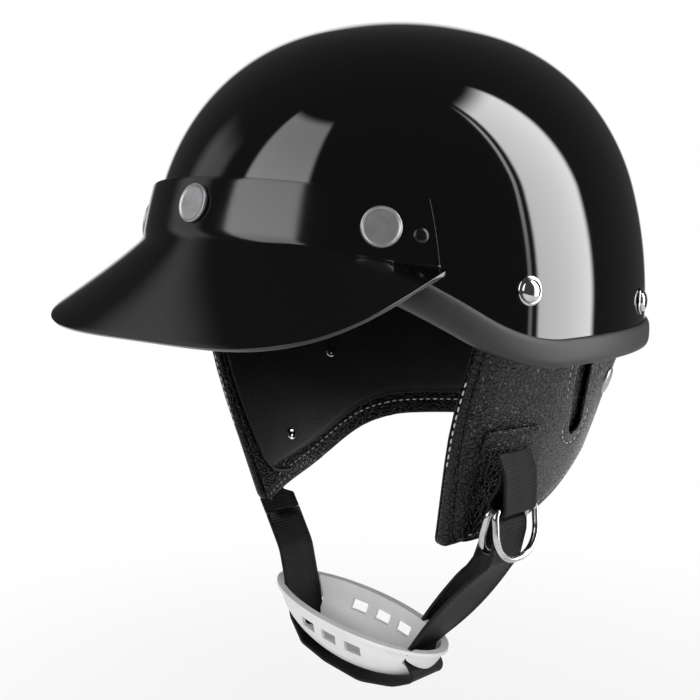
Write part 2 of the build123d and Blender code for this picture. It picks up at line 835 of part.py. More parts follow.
with BuildPart() as hem_web:
    add(
        webbing(
            [(-hem_web_out, hem_web_top), (-hem_bend_out, hem_bend_level), hem_join],
            [strap_round],
            strap_wall,
            hem_tab_width,
        )
    )
    add(webbing([hem_shoulder, hem_join], [], strap_wall, strap_width))

with BuildPart() as strap_space:
    add(
        webbing(
            strap_line[: -5], strap_rounds[: -5], strap_wall + 2 * strap_gap, strap_width + 2 * strap_gap
        )
    )
with BuildPart() as cup_bowl:
    with BuildSketch(Plane.XZ):
        with BuildLine():
            Line((0, 0), (cup_depth, 0))
            CenterArc((0, 0), cup_depth, 0, -90)
            Line((0, -cup_depth), (0, 0))
        make_face()
    revolve(axis=Axis.Z)
    scale(by=(cup_length / 2 / cup_depth, cup_width / 2 / cup_depth, 1))
with BuildPart() as cup_hollow:
    with BuildSketch(Plane.XZ):
        with BuildLine():
            Line((0, 0), (cup_depth - cup_wall, 0))
            CenterArc((0, 0), cup_depth - cup_wall, 0, -90)
            Line((0, -cup_depth + cup_wall), (0, 0))
        make_face()
    revolve(axis=Axis.Z)
    scale(
        by=(
            (cup_length / 2 - cup_wall) / (cup_depth - cup_wall),
            (cup_width / 2 - cup_wall) / (cup_depth - cup_wall),
            1,
        )
    )
with BuildPart() as level_cup:
    add(cup_bowl.part)
    with BuildSketch():
        Ellipse(cup_length / 2 + cup_lip, cup_width / 2 + cup_lip)
    extrude(amount=-cup_lip_wall)
    add(cup_hollow.part, mode=Mode.SUBTRACT)
    with BuildSketch(Plane.XZ):
        with Locations((0, -cup_hole_drop)):
            with GridLocations(cup_hole_step, 0, cup_holes, 1):
                Rectangle(cup_hole_width, cup_hole_height)
    extrude(amount=cup_width, both=True, mode=Mode.SUBTRACT)
with BuildPart() as chin_cup:
    add(cup_plane.location * level_cup.part)
    add(strap_space.part, mode=Mode.SUBTRACT)

# The right side mirrors the left
with BuildPart() as right_ear_leather:
    mirror(left_ear_leather.part, about=Plane.YZ)
with BuildPart() as right_ear_padding:
    mirror(left_ear_padding.part, about=Plane.YZ)
with BuildPart() as right_ear_lining:
    mirror(left_ear_lining.part, about=Plane.YZ)
with BuildPart() as right_ear_binding:
    mirror(left_ear_binding.part, about=Plane.YZ)
with BuildPart() as right_flap_cap:
    mirror(left_flap_cap.part, about=Plane.YZ)
with BuildPart() as right_lining_snaps:
    mirror(left_lining_snaps.part, about=Plane.YZ)

pieces = {
    "outer_shell": outer_shell,
    "foam_liner": foam_liner,
    "crown_pad": crown_pad,
    "sweatband": sweatband,
    "edge_trim": edge_trim,
    "shell_rivets": shell_rivets,
    "rivet_washers": rivet_washers,
    "rivet_burrs": rivet_burrs,
    "peak": peak,
    "peak_snap_caps": snap_caps,
    "peak_snap_sockets": snap_sockets,
    "shell_snap_studs": snap_studs,
    "peak_rivets": peak_rivets,
    "left_ear_leather": left_ear_leather,
    "left_ear_padding": left_ear_padding,
    "left_ear_lining": left_ear_lining,
    "left_ear_binding": left_ear_binding,
    "left_flap_cap": left_flap_cap,
    "left_lining_snaps": left_lining_snaps,
    "left_strap_patch": left_strap_patch,
    "right_ear_leather": right_ear_leather,
    "right_ear_padding": right_ear_padding,
    "right_ear_lining": right_ear_lining,
    "right_ear_binding": right_ear_binding,
    "right_flap_cap": right_flap_cap,
    "right_lining_snaps": right_lining_snaps,
    "nape_leather": nape_leather,
    "nape_padding": nape_padding,
    "nape_lining": nape_lining,
    "nape_binding": nape_binding,
    "ring_webbing": ring_webbing,
    "outer_ring": outer_ring,
    "inner_ring": inner_ring,
    "chin_strap": chin_strap,
    "hem_web": hem_web,
    "chin_cup": chin_cup,
}
for name, piece in pieces.items():
    piece.part.label = name
    export_step(piece.part, f"parts/{name}.step")
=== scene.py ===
# Half shell motorcycle helmet: surfaces, soft goods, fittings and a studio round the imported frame.
# Shape code works in millimetres; every mesh is written in metres, in place, on an object at the origin.
from math import acos, asin, atan2, copysign, cos, pi, radians, sin, sqrt, tan

import bmesh
import bpy
import numpy as np
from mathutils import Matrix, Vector


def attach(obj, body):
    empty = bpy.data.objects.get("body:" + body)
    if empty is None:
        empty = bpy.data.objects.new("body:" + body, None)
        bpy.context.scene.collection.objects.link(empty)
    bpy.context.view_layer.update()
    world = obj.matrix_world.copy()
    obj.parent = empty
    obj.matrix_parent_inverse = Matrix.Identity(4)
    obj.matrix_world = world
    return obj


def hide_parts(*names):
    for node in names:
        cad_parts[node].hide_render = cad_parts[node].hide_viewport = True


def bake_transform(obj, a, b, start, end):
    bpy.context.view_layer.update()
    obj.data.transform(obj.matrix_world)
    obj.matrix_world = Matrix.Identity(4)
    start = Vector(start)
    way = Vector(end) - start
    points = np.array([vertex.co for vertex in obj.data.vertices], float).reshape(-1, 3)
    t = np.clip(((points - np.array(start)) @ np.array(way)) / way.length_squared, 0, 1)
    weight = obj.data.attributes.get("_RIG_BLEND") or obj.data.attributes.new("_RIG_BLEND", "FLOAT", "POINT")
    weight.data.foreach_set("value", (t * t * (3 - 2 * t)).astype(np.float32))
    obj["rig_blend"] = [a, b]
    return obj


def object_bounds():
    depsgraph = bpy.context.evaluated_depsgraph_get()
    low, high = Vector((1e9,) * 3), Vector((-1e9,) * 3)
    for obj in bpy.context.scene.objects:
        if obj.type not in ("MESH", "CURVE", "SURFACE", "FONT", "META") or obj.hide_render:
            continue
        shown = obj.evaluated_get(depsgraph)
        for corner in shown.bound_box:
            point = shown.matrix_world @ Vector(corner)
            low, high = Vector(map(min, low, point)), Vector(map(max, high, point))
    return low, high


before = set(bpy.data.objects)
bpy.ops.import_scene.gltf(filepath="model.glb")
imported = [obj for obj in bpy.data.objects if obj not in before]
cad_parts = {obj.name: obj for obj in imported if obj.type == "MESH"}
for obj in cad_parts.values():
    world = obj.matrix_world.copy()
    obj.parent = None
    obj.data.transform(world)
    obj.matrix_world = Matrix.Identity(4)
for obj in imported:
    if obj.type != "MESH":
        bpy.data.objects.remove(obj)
cad_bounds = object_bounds()

bl_info = {
    "name": "Half Shell Helmet",
    "version": (1, 0, 0),
    "blender": (4, 5, 0),
    "location": "3D View > Sidebar > Helmet",
    "description": "Dresses the packed helmet frame: paint, rubber, leather, webbing, fittings and studio",
    "category": "Object",
}

# ---- sizes of the helmet, in millimetres ----
HALF_LENGTH, HALF_WIDTH, CROWN = 139.0, 115.5, 139.0
NARROW = HALF_WIDTH / HALF_LENGTH
CROWN_RADIUS, SHOULDER_RADIUS = 195.0, 110.0
WALL_X, CROWN_Z = HALF_LENGTH - CROWN_RADIUS, CROWN - CROWN_RADIUS
SHOULDER = (WALL_X + CROWN_Z) / 4 + sqrt((CROWN_RADIUS - SHOULDER_RADIUS) ** 2 - WALL_X**2 / 2) / sqrt(2)
CROWN_BEND, WALL_BEND = atan2(SHOULDER - CROWN_Z, SHOULDER), atan2(SHOULDER, SHOULDER - WALL_X)
MERIDIAN = 200.0            # nominal way down from the crown to the widest line
SHELL_WALL, TRIM_HEIGHT, TRIM_WEB, TRIM_PROUD, TRIM_LEG = 3.2, 12.5, 3.0, 2.8, 2.2
FOAM_INNER, PAD_WALL = 23.5, 6.0
FOAM_FACE = -FOAM_INNER - 0.3       # where the comfort pads lie
BAND_OUT = 3.2                      # middle of the peak's wall, outside the shell
BAND_END, BAND_FRONT = 84.0, 143.2
BAND_TOP, CREASE = (64.0, 52.0), (38.5, 23.5)       # levels at the peak's front and at its ends
BRIM_HALF, BRIM_END, BRIM_REACH = 100.5, 88.0, 80.5
BRIM_TIP, BRIM_RISE, BRIM_POWER = -6.5, 29.0, 0.5
PEAK_COLUMNS, BAND_ROWS, FOLD_ROWS, BRIM_ROWS = 181, 15, 7, 23
SKIRT_REACH, SKIRT_LEAN, SKIRT_SEAM = 131.2, 0.38, 66.0
LEATHER_HALF, PAD_DEPTH, FACING_DEPTH, PANEL_DEPTH = 0.9, 6.3, 10.7, 11.7
HEM_ROW, INNER_ROW = 4.4, 8.0       # seams from the hem, outside and inside
SLOT = np.array([15.0, -40.0])      # middle of the ear slot: place and level
STRAP_Y, STRAP_WIDTH, STRAP_WALL, RING_LEVEL = -29.0, 24.0, 1.8, -87.0
LOOK_RIGHT, LOOK_UP = -0.02778, -0.02618            # metres the camera is shifted in its own plane


# ---- the helmet's curves and surfaces ----
def unit(ways):
    return ways / np.linalg.norm(ways, axis=-1, keepdims=True)


def rounded(points, radii, step=radians(5)):
    """The points of a line in a plane whose inner corners are rounded."""
    dots = [np.array(p, float) for p in points]
    line = [dots[0]]
    for a, b, c, r in zip(dots, dots[1:], dots[2:], radii):
        u, v = unit(a - b), unit(c - b)
        half = acos(np.clip(u @ v, -1, 1)) / 2
        middle = b + unit(u + v) * r / sin(half)
        start, end = b + u * r / tan(half), b + v * r / tan(half)
        sweep = pi - 2 * half
        count = max(2, int(sweep / step) + 1)
        one, two = start - middle, end - middle
        for k in range(count + 1):
            t = k / count * sweep
            line.append(middle + (one * sin(sweep - t) + two * sin(t)) / sin(sweep))
    return np.array(line + [dots[-1]])


def run_of(line):
    """How far each point of a line lies along it."""
    return np.r_[0, np.cumsum(np.linalg.norm(np.diff(line, axis=0), axis=1))]


def along(line, shares):
    """Points at shares of a line's length."""
    line = np.asarray(line, float)
    way = run_of(line)
    return np.stack([np.interp(np.asarray(shares) * way[-1], way, axis) for axis in line.T], -1)


def circle(count):
    """Angles evenly round a circle."""
    return np.linspace(0, 2 * pi, count, endpoint=False)


def spread(length, step):
    """Shares of a length, close together at both ends, where an edge is rounded."""
    first = np.cumsum((0.22, 0.4, 0.6, 0.8, 1.0))
    inner = np.linspace(first[-1], length - first[-1], max(3, int(length / step)))
    return np.r_[0, first[:-1], inner, length - first[:-1][::-1], length] / length


def meridian(way, outset):
    """The round dome, `way` down from the crown: reach, height and outward slope."""
    way = np.asarray(way, float)
    rise = np.clip(1 - way / MERIDIAN, 0, 1) * pi / 2
    top, shoulder = rise > CROWN_BEND, (rise > WALL_BEND) & (rise <= CROWN_BEND)
    radius = np.where(shoulder, SHOULDER_RADIUS, CROWN_RADIUS) + outset
    reach = np.where(top, 0, np.where(shoulder, SHOULDER, WALL_X)) + radius * np.cos(rise)
    level = np.where(top, CROWN_Z, np.where(shoulder, SHOULDER, 0)) + radius * np.sin(rise)
    return reach, level - np.clip(way - MERIDIAN, 0, None), np.cos(rise), np.sin(rise)


def down_to(level, outset):
    """The way down the dome to a level."""
    level = np.asarray(level, float)
    wall = np.arcsin(np.clip(level / (CROWN_RADIUS + outset), -1, 1))
    shoulder = np.arcsin(np.clip((level - SHOULDER) / (SHOULDER_RADIUS + outset), -1, 1))
    top = np.arcsin(np.clip((level - CROWN_Z) / (CROWN_RADIUS + outset), -1, 1))
    rise = np.where(wall <= WALL_BEND, wall, np.where(shoulder <= CROWN_BEND, shoulder, top))
    return np.where(level < 0, MERIDIAN - level, MERIDIAN * (1 - rise / (pi / 2)))


def dome(angle, way, outset):
    """A point of the narrowed dome: the angle runs from the front to the wearer's left."""
    reach, level, _, _ = meridian(way, outset)
    return np.stack(
        [NARROW * reach * np.sin(angle), -reach * np.cos(angle), level + 0 * np.asarray(angle)], -1
    )


def dome_seat(angle, level, outset):
    """A place on the dome and its outward direction."""
    way = down_to(level, outset)
    reach, level, out, up = meridian(way, outset)
    spot = np.array([NARROW * reach * sin(angle), -reach * cos(angle), level])
    return spot, unit(np.array([out * sin(angle) / NARROW, -out * cos(angle), up]))


def rim(y, up):
    """Height of the rim line, `up` above the trim's lower edge, seen from the side."""
    shift = up * tan(atan2(39.5, 61.5) / 2)
    line = rounded(
        [(-400, 18 + up), (-110 + shift, 18 + up), (-48.5 + shift, -21.5 + up), (400, -21.5 + up)],
        [50 + up, 95 - up],
        radians(1),
    )
    return np.interp(y, line[:, 0], line[:, 1])


def rim_way(angle, outset, up):
    """How far down the dome the rim line lies at an angle."""
    level = -10 + 0 * np.asarray(angle, float)
    for _ in range(14):
        level = rim(-meridian(down_to(level, outset), outset)[0] * np.cos(angle), up)
    return down_to(level, outset)


def skirt_reach(level):
    return SKIRT_REACH + (np.asarray(level, float) + 8) * SKIRT_LEAN


def skirt_point(turn, level, depth, side=1):
    """A point of the leather skirt: `turn` runs from the wearer's side to the back."""
    reach = skirt_reach(level) - depth
    return np.stack([side * NARROW * reach * np.cos(turn), reach * np.sin(turn), level + 0 * turn], -1)


def skirt_out(turn, side=1):
    """The skirt's outward direction."""
    return unit(np.stack([side * np.cos(turn) / NARROW, np.sin(turn), -SKIRT_LEAN + 0 * turn], -1))


def turn_of(place, level):
    return np.arcsin(np.clip(place / skirt_reach(level), -1, 1))


# Outlines of the skirt's layers seen from the side, down the front edge and back along the hem.
FLAP_CORNERS = [(-58, 30), (-59.5, -48), (-48.5, -111), (6, -100), (58, -76.5), (175, -74)]
FLAP_ROUNDS = [200, 5, 150, 100]
LEATHER_CORNERS = [(-54.5, 30), (-55.5, -48), (-42.0, -109.2), *FLAP_CORNERS[3:]]
LEATHER_ROUNDS = [200, 9, 150, 100]
PANEL_CORNERS = [(-56.0, 30), (-56.0, -48), (-42.0, -95.0), (8, -88.0), (58, -65.0), (175, -62.5)]
PANEL_ROUNDS = [120, 12, 140, 90]
PIPING_TAIL = [(-36, -95.4), (-27, -97.5), (-19, -98.2)]


def flap_outline(margin, corners=FLAP_CORNERS, rounds=FLAP_ROUNDS):
    """The flap's front edge and hem, seen from the side, a margin inside the leather's edge."""
    dots = [np.array(p, float) for p in corners]
    ways = [unit(b - a) for a, b in zip(dots, dots[1:])]
    ins = [np.array([-w[1], w[0]]) for w in ways]
    edge = [dots[0] + ins[0] * margin]
    for dot, one, two in zip(dots[1:], ins, ins[1:]):
        middle = unit(one + two)
        edge.append(dot + middle * margin / (middle @ one))
    edge.append(dots[-1] + ins[-1] * margin)
    turns = [ways[k][0] * ways[k + 1][1] - ways[k][1] * ways[k + 1][0] for k in range(len(ways) - 1)]
    line = rounded(edge, [max(r - margin if t > 0 else r + margin, 0.6) for r, t in zip(rounds, turns)])
    low = int(np.argmin(line[:, 1]))
    return line[: low + 1], line[low:]


def patch(front, hem, seam_y, top_up, step):
    """A four-sided patch of the skirt seen from the side: rows run down, columns run back."""
    y = front[:, 0][::-1]
    above = front[front[:, 1] > -14]
    start_y = float(np.interp(-14, front[:, 1][::-1], y)) if len(above) else float(front[0, 0])
    top_level = float(rim(start_y, top_up))
    front = np.vstack([[start_y, top_level], front[front[:, 1] < top_level - 0.5]])
    inside = hem[hem[:, 0] < seam_y - 0.5]
    hem = np.vstack([inside, [seam_y, np.interp(seam_y, hem[:, 0], hem[:, 1])]])
    u, v = spread(run_of(hem)[-1], step), spread(run_of(front)[-1], step)
    one, low = along(front, v), along(hem, u)
    ty = start_y + (seam_y - start_y) * u
    top = np.stack([ty, rim(ty, top_up)], -1)
    two = np.stack([np.full(len(v), seam_y), top[-1, 1] + (low[-1, 1] - top[-1, 1]) * v], -1)
    U, V = u[None, :, None], v[:, None, None]
    grid = (1 - V) * top[None] + V * low[None] + (1 - U) * one[:, None] + U * two[:, None]
    grid -= (1 - U) * (1 - V) * top[0] + U * (1 - V) * top[-1] + (1 - U) * V * low[0] + U * V * low[-1]
    wide = np.linalg.norm(np.diff(grid, axis=1), axis=2).sum(1)[:, None]
    tall = np.linalg.norm(np.diff(grid, axis=0), axis=2).sum(0)[None, :]
    edges = np.stack([u * wide, (1 - u) * wide, v[:, None] * tall, (1 - v[:, None]) * tall])
    return grid[..., 0], grid[..., 1], edges


# ---- meshes ----
def placed(name, data):
    """A new object at the origin."""
    piece = bpy.data.objects.new(name, data)
    bpy.context.scene.collection.objects.link(piece)
    return piece


def mesh_of(name, verts, faces, material, closed=True, uv=None):
    """A new mesh object at the origin, from points in millimetres."""
    mesh = bpy.data.meshes.new(name)
    mesh.from_pydata((np.asarray(verts, float) / 1000).tolist(), [], [list(map(int, f)) for f in faces])
    if uv is not None:
        layer = mesh.uv_layers.new(name="UVMap")
        for loop in mesh.loops:
            layer.data[loop.index].uv = uv[loop.vertex_index]
    if closed:
        work = bmesh.new()
        work.from_mesh(mesh)
        bmesh.ops.recalc_face_normals(work, faces=work.faces)
        work.to_mesh(mesh)
        work.free()
    mesh.polygons.foreach_set("use_smooth", [True] * len(mesh.polygons))
    mesh.materials.append(material)
    return placed(name, mesh)


def rings(loops, first_pole=None, last_pole=None, closed=False):
    """Vertices and faces of a skin over closed loops, with a pole at either end or joined to itself."""
    loops = np.asarray(loops, float)
    rows, count = loops.shape[:2]
    verts, faces = list(loops.reshape(-1, 3)), []
    for j in range(rows if closed else rows - 1):
        a, b = j * count, (j + 1) % rows * count
        for i in range(count):
            k = (i + 1) % count
            faces.append((a + i, b + i, b + k, a + k))
    for pole, row, flip in ((first_pole, 0, False), (last_pole, rows - 1, True)):
        if pole is not None:
            verts.append(np.asarray(pole, float))
            for i in range(count):
                a, b = row * count + i, row * count + (i + 1) % count
                faces.append((len(verts) - 1, b, a) if flip else (len(verts) - 1, a, b))
    return verts, faces


def slab(front, back):
    """Vertices and faces of a closed sheet between two grids of points."""
    rows, cols = front.shape[:2]
    verts, faces = np.vstack([front.reshape(-1, 3), back.reshape(-1, 3)]), []
    gap = rows * cols
    for j in range(rows - 1):
        for i in range(cols - 1):
            a = j * cols + i
            faces.append((a, a + 1, a + cols + 1, a + cols))
            faces.append((gap + a, gap + a + cols, gap + a + cols + 1, gap + a + 1))
    corner = (rows - 1) * cols
    border = [*range(cols), *(j * cols + cols - 1 for j in range(1, rows))]
    border += [*(corner + i for i in range(cols - 2, -1, -1)), *(j * cols for j in range(rows - 2, 0, -1))]
    for a, b in zip(border, border[1:] + border[:1]):
        faces.append((b, a, gap + a, gap + b))
    return verts, faces


def lathe(name, profile, material, count=40):
    """A turned part from (radius, height) points, on its own axis."""
    poles = [None, None]
    if profile[0][0] == 0:
        poles[0], profile = (0, 0, profile[0][1]), profile[1:]
    if profile[-1][0] == 0:
        poles[1], profile = (0, 0, profile[-1][1]), profile[:-1]
    loops = [[(r * cos(a), r * sin(a), z) for a in circle(count)] for r, z in profile]
    return mesh_of(name, *rings(loops, *poles, closed=poles == [None, None]), material)


def tube(line, radius, count=14, closed=True):
    """A round wire along points; it keeps one side towards the plane the line lies in."""
    line = np.asarray(line, float)
    way = unit(np.roll(line, -1, 0) - np.roll(line, 1, 0) if closed else np.gradient(line, axis=0))
    side = unit(np.cross(way, np.linalg.svd(line - line.mean(0))[2][2]))[:, None]
    over = np.cross(side[:, 0], way)[:, None]
    a = circle(count)[None, :, None]
    loops = line[:, None] + radius * (np.cos(a) * side + np.sin(a) * over)
    if closed:
        return rings(loops, closed=True)
    return rings(loops, line[0] - way[0] * radius * 0.5, line[-1] + way[-1] * radius * 0.5)


def dress(piece, body=None, nodes=(), slot=None):
    """Puts a finished piece on its body and in the place of its CAD nodes."""
    if body:
        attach(piece, body)
    if nodes:
        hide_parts(*nodes)
    return piece


# ---- nodes and materials ----
def add(tree, kind, links=None, **settings):
    """Adds a node with its settings, and sets or links its inputs by name or number."""
    made = tree.nodes.new(kind)
    for key, value in settings.items():
        setattr(made, key, value)
    for key, value in (links or {}).items():
        if isinstance(value, bpy.types.NodeSocket):
            tree.links.new(value, made.inputs[key])
        else:
            made.inputs[key].default_value = value
    return made


def colour(code):
    """Linear colour from an sRGB hex value."""
    parts = [int(code[i : i + 2], 16) / 255 for i in (1, 3, 5)]
    return [c / 12.92 if c <= 0.04045 else ((c + 0.055) / 1.055) ** 2.4 for c in parts] + [1.0]


def finish_of(name, base, roughness, height, distance, coordinates="Object", **settings):
    """A Principled material. `height` builds from coordinates the relief, `distance` metres deep, and a 0 to
    1 mask with the colour and the roughness that it moves to: wear, and for the leathers and the webbing also
    painted shade."""
    material = bpy.data.materials.new(name)
    material.use_nodes = True
    tree = material.node_tree
    tree.nodes.clear()
    place = add(tree, "ShaderNodeTexCoord").outputs[coordinates]
    relief, (mask, wear_and_shade, rougher) = height(tree, place)
    bump = add(tree, "ShaderNodeBump", {"Height": relief, "Distance": distance, "Strength": 1.0}).outputs[0]
    mix = add(tree, "ShaderNodeMix", {0: mask, 6: colour(base), 7: colour(wear_and_shade)}, data_type="RGBA").outputs[2]
    range_of = {"Value": mask, "To Min": roughness, "To Max": roughness + rougher}
    rough = add(tree, "ShaderNodeMapRange", range_of).outputs[0]
    inputs = {"Base Color": mix, "Roughness": rough, "Normal": bump}
    inputs.update({key.replace("_", " "): value for key, value in settings.items()})
    shader = add(tree, "ShaderNodeBsdfPrincipled", inputs)
    add(tree, "ShaderNodeOutputMaterial", {"Surface": shader.outputs[0]})
    material.diffuse_color = colour(base)
    return material


def scaled(tree, place, size):
    """Coordinates in steps of a size in millimetres, or of three."""
    steps = [1000 / float(s) for s in np.broadcast_to(size, 3)]
    return add(tree, "ShaderNodeMapping", {"Vector": place, "Scale": steps}).outputs[0]


def noise(tree, place, size, detail=2.0, rough=0.5, output="Fac"):
    inputs = {"Vector": scaled(tree, place, size), "Scale": 1.0, "Detail": detail, "Roughness": rough}
    return add(tree, "ShaderNodeTexNoise", inputs).outputs[output]


def cell_edges(tree, place, size):
    """Distance from the nearest border between random cells."""
    inputs = {"Vector": scaled(tree, place, size), "Scale": 1.0}
    return add(tree, "ShaderNodeTexVoronoi", inputs, feature="DISTANCE_TO_EDGE").outputs["Distance"]


def combine(tree, kind, a, b=0.0, clamp=False):
    return add(tree, "ShaderNodeMath", {0: a, 1: b}, operation=kind, use_clamp=clamp).outputs[0]


def product(tree, first, *others):
    for other in others:
        first = combine(tree, "MULTIPLY", first, other)
    return first


def soft_step(tree, value, low, high, first=0.0, last=1.0):
    """Runs softly from `first` where the value is `low` to `last` where it is `high`."""
    inputs = {"Value": value, "From Min": low, "From Max": high, "To Min": first, "To Max": last}
    return add(tree, "ShaderNodeMapRange", inputs, interpolation_type="SMOOTHSTEP").outputs[0]


def orange_peel(tree, place):
    """Sprayed clear coat: a slow wave of about 3 mm, about a micron deep."""
    return noise(tree, place, 3.2, 1.0), (noise(tree, place, 40, 3.0), "#060607", 0.03)


def moulded_skin(tree, place):
    """Injection-moulded plastic: nearly smooth, with a faint 1.6 mm unevenness."""
    return noise(tree, place, 1.6), (noise(tree, place, 25, 3.0), "#08080a", 0.06)


def rubber_skin(tree, place):
    """Extruded rubber: a fine 0.5 mm grain and a soft bloom in patches."""
    return noise(tree, place, 0.5, 3.0, 0.6), (noise(tree, place, 14, 4.0), "#2b2b2c", 0.12)


def pebbles(size, wrinkled):
    """Embossed leather: pebbles of a size between narrow creases, on a slower wrinkle."""
    def build(tree, place):
        shift = {0: noise(tree, place, size * 1.6, output="Color"), 1: (size * 0.0009,) * 3}
        offset = add(tree, "ShaderNodeVectorMath", shift, operation="MULTIPLY").outputs[0]
        moved = add(tree, "ShaderNodeVectorMath", {0: place, 1: offset}, operation="ADD").outputs[0]
        pebble = soft_step(tree, cell_edges(tree, moved, size), 0.0, 0.17)
        grain = soft_step(tree, cell_edges(tree, moved, size * 0.45), 0.0, 0.2)
        wrinkle = noise(tree, place, size * 5, 1.5, 0.45)
        relief = combine(tree, "ADD", pebble, product(tree, grain, 0.14))
        relief = combine(tree, "ADD", relief, product(tree, wrinkle, wrinkled))
        # Pebble tops lighten at random as rubbed wear, while the creases always keep the darker base colour,
        # which is painted shade.
        wear_and_shade = combine(tree, "MULTIPLY", pebble, noise(tree, place, 9, 3.0), clamp=True)
        return relief, (wear_and_shade, "#101011", -0.05)
    return build


def ribs(tree, place):
    """Narrow-woven webbing: a rib every 1.5 mm along it, split by warp yarns of 0.8 mm across."""
    parts = add(tree, "ShaderNodeSeparateXYZ", {"Vector": place}).outputs
    weft = combine(tree, "SINE", product(tree, parts[0], pi / 1.5))
    warp = combine(tree, "SINE", product(tree, parts[1], 2 * pi / 0.8))
    rib = combine(tree, "POWER", combine(tree, "ABSOLUTE", weft), 0.6)
    relief = combine(tree, "ADD", rib, product(tree, warp, 0.3))
    # Rib tops painted lighter than the grooves between them: painted sheen on the tops, painted shade in the
    # grooves.
    return relief, (combine(tree, "MULTIPLY", rib, 0.8, clamp=True), "#0d0d0e", -0.05)


def twist(wear_and_shade):
    """Three-ply thread: a slanted ply every 0.5 mm."""
    def build(tree, place):
        inputs = {"Vector": scaled(tree, place, 1.6), "Scale": 1.0, "Distortion": 0.6}
        wave = add(tree, "ShaderNodeTexWave", inputs, bands_direction="DIAGONAL").outputs["Fac"]
        return wave, (noise(tree, place, 3), wear_and_shade, 0.1)
    return build


def brushing(size):
    """Turned or brushed metal: fine lines of a tenth of a millimetre, drawn a little coarser to show."""
    def build(tree, place):
        lines = noise(tree, place, (size * 14, size * 14, size), 3.0)
        return lines, (noise(tree, place, 6, 3.0), "#8d8d8e", 0.08)
    return build


def beads(tree, place):
    """Moulded polystyrene: fused beads of about 3 mm."""
    bead = soft_step(tree, cell_edges(tree, place, 3.0), 0.0, 0.25)
    return bead, (noise(tree, place, 8), "#1c1c1e", 0.05)


def knit(tree, place):
    """Brushed tricot lining: 1.3 mm loops under a short nap."""
    inputs = {"Vector": scaled(tree, place, (1.3, 1.3, 0.9)), "Scale": 1.0, "Randomness": 0.25}
    loops = add(tree, "ShaderNodeTexVoronoi", inputs).outputs["Distance"]
    nap = noise(tree, place, 0.45, 3.0, 0.7)
    return combine(tree, "SUBTRACT", nap, loops), (noise(tree, place, 12, 3.0), "#27272a", 0.05)


def moulded_cup(tree, place):
    """Moulded polypropylene: faint flow unevenness, and scuffs that dull it."""
    return noise(tree, place, 2.5), (noise(tree, place, 18, 4.0), "#dfdfdc", 0.12)


MATERIALS = {}


def make_materials():
    """Every finish, named for what it is and how it was made."""
    MATERIALS.update(
        # Clear-coated enamel: deep black with hard, mirror-like reflections that waver very slightly.
        paint=finish_of(
            "clear_coated_enamel", "#040405", 0.03, orange_peel, 0.000002,
            IOR=1.5, Coat_Weight=0.35, Coat_Roughness=0.02,
        ),
        # Gloss moulded ABS: the same black, with reflections a little softer than the paint's.
        abs=finish_of("moulded_gloss_abs", "#050506", 0.085, moulded_skin, 0.000004, IOR=1.53),
        # Extruded EPDM rubber: dark grey, matt, with a broad soft highlight along its round back.
        rubber=finish_of("extruded_epdm_rubber", "#1e1e1f", 0.46, rubber_skin, 0.00006, IOR=1.5),
        # Embossed, finished cowhide: black pebbles that catch small highlights, lighter at random on their
        # rubbed tops, and creases kept at the darker base colour as painted shade.
        leather=finish_of(
            "embossed_cowhide", "#050506", 0.26, pebbles(2.6, 2.0), 0.0004, Specular_IOR_Level=0.32
        ),
        # Smooth-finished lining leather: fine grain with the same painted shade in its creases, a low even
        # sheen.
        lining=finish_of("smooth_lining_leather", "#09090a", 0.48, pebbles(0.9, 0.5), 0.00009, IOR=1.48),
        # Woven polyamide webbing: ribs with a dull sheen, their tops painted lighter and the grooves between
        # them darker as painted shade.
        webbing=finish_of(
            "woven_polyamide_webbing", "#060607", 0.6, ribs, 0.00016, "UV", Specular_IOR_Level=0.22
        ),
        # Twisted polyester thread: off-white, with its ply just seen, and the same in black.
        thread=finish_of("twisted_polyester_thread", "#cfcec8", 0.6, twist("#a9a8a2"), 0.00008),
        dark_thread=finish_of("twisted_black_thread", "#161617", 0.55, twist("#0e0e0f"), 0.00008),
        # Chromium plate on turned brass: bright, nearly mirror.
        chrome=finish_of("chromium_plate", "#e6e7ea", 0.07, brushing(0.5), 0.000003, Metallic=1.0),
        # Satin nickel on pressed steel caps: fine brushing that spreads the light into a gradient.
        satin=finish_of("satin_nickel_plate", "#c6c6c8", 0.36, brushing(0.25), 0.000006, Metallic=0.82),
        # Drawn steel wire, nickel plated: a bright core between dark edges.
        wire=finish_of("nickel_plated_wire", "#dedfe2", 0.1, brushing(0.6), 0.000003, Metallic=1.0),
        # Stove enamel over a steel rivet: near black, a small soft highlight.
        enamel=finish_of("stove_enamelled_steel", "#080809", 0.3, moulded_skin, 0.000004, IOR=1.5),
        # Moulded polypropylene: clean white, satin.
        cup=finish_of("moulded_polypropylene", "#f6f6f4", 0.3, moulded_cup, 0.00002, IOR=1.49),
        # Expanded polystyrene, dyed black: fused beads.
        foam=finish_of("expanded_polystyrene", "#111113", 0.7, beads, 0.0002),
        # Brushed tricot over foam: soft black nap.
        tricot=finish_of("brushed_tricot", "#141416", 0.9, knit, 0.0002, Sheen_Weight=0.25),
    )


# ---- Geometry Nodes ----
STITCH_SEED = 7


def new_tree(name, sizes):
    """A geometry tree with named inputs: its mesh, its sizes, its material."""
    tree = bpy.data.node_groups.new(name, "GeometryNodeTree")
    tree.interface.new_socket("Geometry", in_out="INPUT", socket_type="NodeSocketGeometry")
    for label, kind, value in sizes:
        socket = tree.interface.new_socket(label, in_out="INPUT", socket_type=kind)
        if value is not None:
            socket.default_value = value
    tree.interface.new_socket("Geometry", in_out="OUTPUT", socket_type="NodeSocketGeometry")

    def put(kind, links=None, **settings):
        return add(tree, kind, links, **settings).outputs[0]

    return tree, add(tree, "NodeGroupInput").outputs, put


